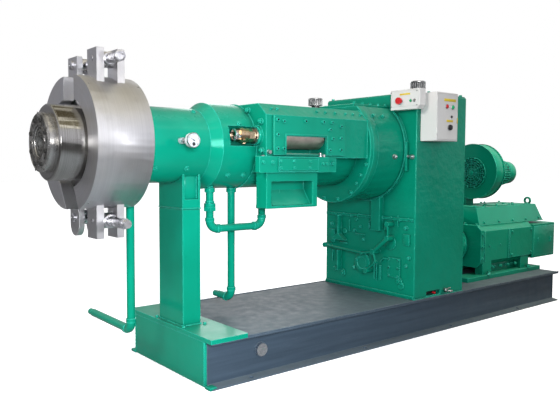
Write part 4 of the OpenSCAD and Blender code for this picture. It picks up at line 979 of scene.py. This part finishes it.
def operator(p, place, axis, r, material, kind):
    """Control on a door: a bezel with a button, a lamp or a ribbed knob."""
    p.use("zinc_plate").lathe(place, axis, [(r * 1.25, 0), (r * 1.25, 1.5), (r * 1.12, 3), (r, 3)], 28)
    p.use(material).lathe(place, axis, [(r * share, height) for share, height in CONTROLS[kind]], 28)
    if kind == "knob":
        for a in angles(14):
            p.lathe(axis_frame(place, axis) @ on_circle(r, a, 4), axis, [(1.3, 0), (1.3, 10), (0, 11)], 8)


@piece("label_yellow", "box_paint")
def side_box_controls(p):
    p.box(at(1562, -510.2, 1428), at(1676, -508.8, 1444), 0.5)
    p.box(at(1588, -510.2, 1306), at(1650, -508.8, 1319), 0.5)
    operator(p, at(1590, -509, 1398), NEAR, 12, "stop_red", "button")
    operator(p, at(1646, -509, 1396), NEAR, 12, "lamp_green", "lamp")
    operator(p, at(1634, -509, 1338), NEAR, 7, "black_plastic", "lamp")
    operator(p, at(1617, -509, 1274), NEAR, 15, "black_plastic", "knob")
    p.use("zinc_plate").box(at(1688, -511.5, 1300), at(1696, -508.5, 1335), 1)
    p.use("box_paint")
    for z in (1235, 1430):
        p.lathe(at(1501, -506.5, z), Z, [(4, 0), (4, 26), (0, 26)], 16)


@piece("label_yellow", "box_paint")
def front_box_controls(p):
    p.box(at(1405.6, -380, 1466), at(1407.3, -300, 1476), 0.4)
    operator(p, at(1407, -385, 1430), FRONT, 8, "lamp_green", "button")
    operator(p, at(1407, -413, 1430), FRONT, 8, "zinc_plate", "button")
    p.use("zinc_plate")
    for y in (-232, -430):
        for z in (1402, 1485):
            p.lathe(at(1407, y, z), FRONT, [(4, 0), (4, 1.5), (2.5, 2.2), (0, 2.2)], 16)


@piece("stop_red")
def stop_cap(p):
    """Crowned mushroom head with its collar, on the CAD button."""
    low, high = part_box("stop_button")
    centre = Vector((low.x, (low.y + high.y) / 2, (low.z + high.z) / 2))
    p.lathe(centre + X * 14 * MM, FRONT, [(20.3, 0), (21, 3), (20.4, 9), (17, 13), (9, 15), (0, 15.6)], 40)
    p.use("black_plastic")
    for k in range(3):
        out = outward(math.tau * k / 3 + 0.4)
        p.box(centre + out * 10 * MM - Vector((0.2, 1.6, 1.6)) * MM,
            centre + out * 10 * MM + Vector((1, 1.6, 1.6)) * MM, 0.3)


# Drive


@piece()
def motor_screws(p):
    """Bolts on the end shield, the sides and the feet of the motor."""
    p.hex_bolts(2400, (-190, -95, 0, 95, 190), 615, Z, 18, 9)
    for side in (-1, 1):
        axis = Vector((0, side, 0))
        p.hex_bolts(2398, side * 243, (375, 462, 550), axis, 17, 9)
        p.hex_bolts((2790, 3060), side * 241, (375, 550), axis, 15, 8)
        p.hex_bolts((2460, 3000), side * 258, 256, Z, 26, 15, stud=8)
        for x in (2500, 2640):
            p.socket_bolt(at(x, side * 235, COUPLING_Z), axis, 16, 5)
        p.hex_bolts((2560, 2660, 2760, 2860), side * 226, 300, axis, 18, 10)


@piece("cast_green", "green_enamel")
def motor_ribs(p):
    """Ribs on the frame, belly plates, doors of the end box and its rear grille."""
    for side in (-1, 1):
        for x in (2430, 2742):
            side_box(p, side, (x, 234, 352), (x + 14, 241, 572), 2)
        side_box(p, side, (3095, 244, 336), (3400, 247, 571), 2)
        for x in (3150, 3340):
            side_box(p, side, (x, 246, 430), (x + 10, 254, 475), 2)
        side_box(p, side, (2440, 170, 246), (3020, 186, 324), 3)
        p.hex_bolts(range(2500, 2980, 75), side * 186, 292, Vector((0, side, 0)), 17, 10)
    p.box(at(3414, -228, 336), at(3418.5, 228, 571), 2)
    for z in range(372, 533, 20):
        p.box(at(3416, -150, z), at(3424, 150, z + 8), 2)


@piece()
def cover_lids(p):
    """Flanged joints, lids and screws of the cover on the motor."""
    for low, high in ((2452, 2600), (2740, 2940), (2960, 3200)):
        p.box(at(low, -138, 736.5), at(high, 138, 742), 2)
        for x in (low + 14, high - 14):
            p.hex_bolts(x, (-124, 124), 742, Z, 14, 8)
    for side in (-1, 1):
        axis = Vector((0, side, 0.33))
        p.hex_bolts((2500, 2690, 2880, 3070, 3260), side * 187, 628, axis, 14, 7)
        side_box(p, side, (2440, 186, 606.5), (3310, 202, 613), 2)
    for x in (2700, 2950, 3080):
        p.lathe(at(x, -60, 742), Z, [(12, 0), (12, 6), (8, 10), (0, 11)], 20)


@piece()
def blower_rims(p):
    """Rims, inlet ring with its wire guard, bolts, motor ribs and fan cap grille of the blower."""
    for x, axis in ((2610, FRONT), (2722, X)):
        p.lathe(at(x, 0, 1000), axis, [(210, -6), (210, 1.5), (203, 1.5), (203, -2)], 96, "ring")
    for a in angles(12, 0.5):
        p.hex_bolt(around(2600, 113, a, z=BLOWER_Z), FRONT, 10, 6)
    for a in angles(8, 0.5):
        p.hex_bolt(around(2740, 91, a, z=BLOWER_Z), X, 14, 8)
    p.lathe(at(2612, 0, BLOWER_Z), FRONT, [(118, 0), (112, 12), (104.5, 12), (104.5, -8)], 72, "ring")
    mouth = at(2596, 0, BLOWER_Z)
    for k in range(6):
        p.ring_bead(mouth, X, 18 + 17 * k, 2, ripple=0, step=10)
    for a in angles(12):
        p.tube([mouth + outward(a) * 16 * MM, mouth + outward(a) * 110 * MM], 2.2, 8)
    p.lathe(mouth, FRONT, [(18, -2), (18, 2), (15, 3.5), (0, 3.5)], 24)
    for k in range(5):
        p.ring_bead(at(3083.5, 0, BLOWER_Z), X, 16 + 15 * k, 2, ripple=0, step=10, segments=6)
    motor_low, motor_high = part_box("blower_motor")
    radius = (motor_high.y - motor_low.y) / 2 / MM
    for a in angles(32):
        p.tube([around(x, radius - 2, a, z=BLOWER_Z) for x in (2790, 2985)], 3.5, 6)
    for x in (2770, 2988):
        p.lathe(at(x, 0, BLOWER_Z), X,
            [(radius - 1, 0), (radius + 3, 2), (radius + 3, 9), (radius - 1, 11)], 64, "ring")
    # Near-black disc behind the fan cap grille: painted shade of the cap's inside.
    p.use("dark_recess").lathe(at(3082.2, 0, BLOWER_Z), X, [(80, 0), (80, 0.3), (0, 0.3)], 48)


@piece("cast_green", "green_enamel")
def fan_wheel(p):
    """Hub and forward-curved blades inside the inlet."""
    centre = at(2650, 0, BLOWER_Z)
    p.lathe(centre, FRONT, [(98, 0), (98, 2), (60, 10), (34, 24), (30, 34), (0, 36)], 48)
    steps = 5
    for a in angles(30):
        line = [outward(a + 0.35 * (i / steps) ** 2) * (70 + 30 * i / steps) * MM for i in range(steps + 1)]
        sheets = [[[p.bm.verts.new(centre + q * share - X * depth * MM) for q in line] for depth in (0, 36)]
            for share in (1, 0.985)]
        (low, high), (low_back, high_back) = sheets
        faces = []
        for i in range(steps):
            for first, second in ((low, high), (high_back, low_back), (high, high_back), (low_back, low)):
                faces.append(p.bm.faces.new((first[i], first[i + 1], second[i + 1], second[i])))
        for i in (0, steps):
            faces.append(p.bm.faces.new((low[i], high[i], high_back[i], low_back[i])))
        p.mark(faces)
    p.ring_bead(centre - X * 36 * MM, X, 99, 2.5, ripple=0, step=10)


@piece()
def guard_bolts(p):
    """Bolts of the coupling guard flange and its hoops."""
    for a in angles(10, 0.5):
        p.hex_bolt(around(1977, 148, a, z=COUPLING_Z), X, 16, 9)
    for x in (2010, 2180, 2350):
        p.lathe(at(x, 0, COUPLING_Z), X, [(134.8, 0), (139, 2), (139, 14), (134.8, 16)], 96, "ring")


# Floor, world and lights


# Light of the workshop walls that polished parts mirror, by height from the floor to overhead
WALLS = ((0, (0.30, 0.31, 0.31)), (0.5, (0.58, 0.58, 0.61)), (0.62, (0.94, 0.94, 1)),
         (0.78, (0.94, 0.94, 0.97)), (0.825, (0.62, 0.58, 0.46)), (0.84, (2, 1.92, 1.66)),
         (0.86, (2, 1.92, 1.66)), (0.875, (0.40, 0.34, 0.20)), (0.93, (0.30, 0.26, 0.15)),
         (0.945, (1.8, 1.71, 1.45)), (0.96, (1.8, 1.71, 1.45)), (0.975, (0.26, 0.22, 0.13)),
         (1, (0.24, 0.20, 0.12)))
WINDOW_BEARING = Vector((-0.55, -0.835, 0.03))
WINDOW_LIGHT = 14
AMBIENT = 0.34
FLOOR_GLOW = 0.56
FLOOR_SIZE = 30


def world_light():
    """White behind the object; reflections see the walls, lamps and a window of a workshop."""
    world = bpy.data.worlds.new("world")
    bpy.context.scene.world = world
    world.use_nodes = True
    w = Nodes(world.node_tree)
    path = w.add("ShaderNodeLightPath").outputs
    bearing = w.add("ShaderNodeTexCoord").outputs["Generated"]
    direction = w.split(bearing)
    walls = w.add("ShaderNodeValToRGB", {"Fac": w.ramp(direction["Z"], -1, 1)})
    ends = walls.color_ramp.elements
    for stop, (place, color) in ((ends[0], WALLS[0]), (ends[1], WALLS[-1])):
        stop.position, stop.color = place, (*color, 1)
    for place, color in WALLS[1:-1]:
        ends.new(place).color = (*color, 1)
    level = w.ramp(direction["Y"], -0.6, 0.9, 1, 0.38)
    dimmed = w.add("ShaderNodeVectorMath", {0: walls.outputs["Color"], "Scale": level}, operation="SCALE")
    toward = {0: bearing, 1: WINDOW_BEARING.normalized()}
    window = w.add("ShaderNodeVectorMath", toward, operation="DOT_PRODUCT")
    pane = w.ramp(window.outputs["Value"], 0.965, 0.99, 0, WINDOW_LIGHT)
    pane.node.interpolation_type = "SMOOTHSTEP"
    parts = {"Factor": 1, "A": dimmed.outputs["Vector"], "B": pane}
    room = w.add("ShaderNodeMix", parts, data_type="RGBA", blend_type="ADD").outputs["Result"]
    mirrored = w.math("MAXIMUM", path["Is Glossy Ray"], path["Is Transmission Ray"])
    light = w.mix(mirrored, (AMBIENT, AMBIENT, AMBIENT * 1.02), room)
    w.put(w.tree.nodes["Background"].inputs["Color"], w.mix(path["Is Camera Ray"], light, (1, 1, 1)))


def floor():
    """White floor that keeps the shadow: to the camera it also glows a little."""
    mesh = bpy.data.meshes.new("floor")
    corners = [(FLOOR_SIZE * x, FLOOR_SIZE * y, 0) for x, y in ((-1, -1), (1, -1), (1, 1), (-1, 1))]
    mesh.from_pydata(corners, [], [(0, 1, 2, 3)])
    obj = bpy.data.objects.new("floor", mesh)
    bpy.context.scene.collection.objects.link(obj)
    s = Shader("floor")
    seen = s.add("ShaderNodeLightPath").outputs["Is Camera Ray"]
    color = s.mix(seen, (0.32, 0.32, 0.315), (0.8, 0.8, 0.8))
    away = s.add("ShaderNodeVectorMath", {0: s.object_coord}, operation="LENGTH")
    glow = s.math("MULTIPLY", seen, s.ramp(away.outputs["Value"], 1.5, 4, FLOOR_GLOW, 1))
    mesh.materials.append(s.finish(color, 0.9, Specular_IOR_Level=0, Emission_Color=(1, 1, 1, 1),
        Emission_Strength=glow))


def area_light(name, place, target, size, power, color=(1, 1, 1), spread=180, shine=True):
    """Soft lamp; shine tells whether polished parts mirror it."""
    data = bpy.data.lights.new(name, "AREA")
    data.shape = "RECTANGLE"
    data.size, data.size_y = size
    data.energy = power
    data.color = color
    data.spread = math.radians(spread)
    obj = bpy.data.objects.new(name, data)
    bpy.context.scene.collection.objects.link(obj)
    obj.visible_glossy = shine
    obj.location = place
    obj.rotation_euler = (target - place).to_track_quat("-Z", "Y").to_euler()


world_light()
floor()
area_light("key", at(-1300, -3000, 1300), at(0, 0, 700), (0.9, 0.9), 34, (0.88, 1, 1.14), 75, False)
area_light("fill", at(850, -3800, 1400), at(-300, 0, 1050), (0.3, 0.14), 4, spread=90)
area_light("front", at(-2600, -900, 2500), at(1400, 0, 800), (1.2, 0.8), 30, (1, 1, 0.98), 110, False)
area_light("top", at(1400, 0, 4300), at(1200, 0, 300), (4, 2), 44, shine=False)
area_light("motor", at(2900, -1500, 3300), at(2800, 100, 800), (0.9, 0.9), 9, (1, 1, 0.85), 48, False)
area_light("back", at(3200, 3400, 2600), at(1500, 0, 800), (2, 2), 60)

bpy.context.scene.view_settings.view_transform = "Standard"
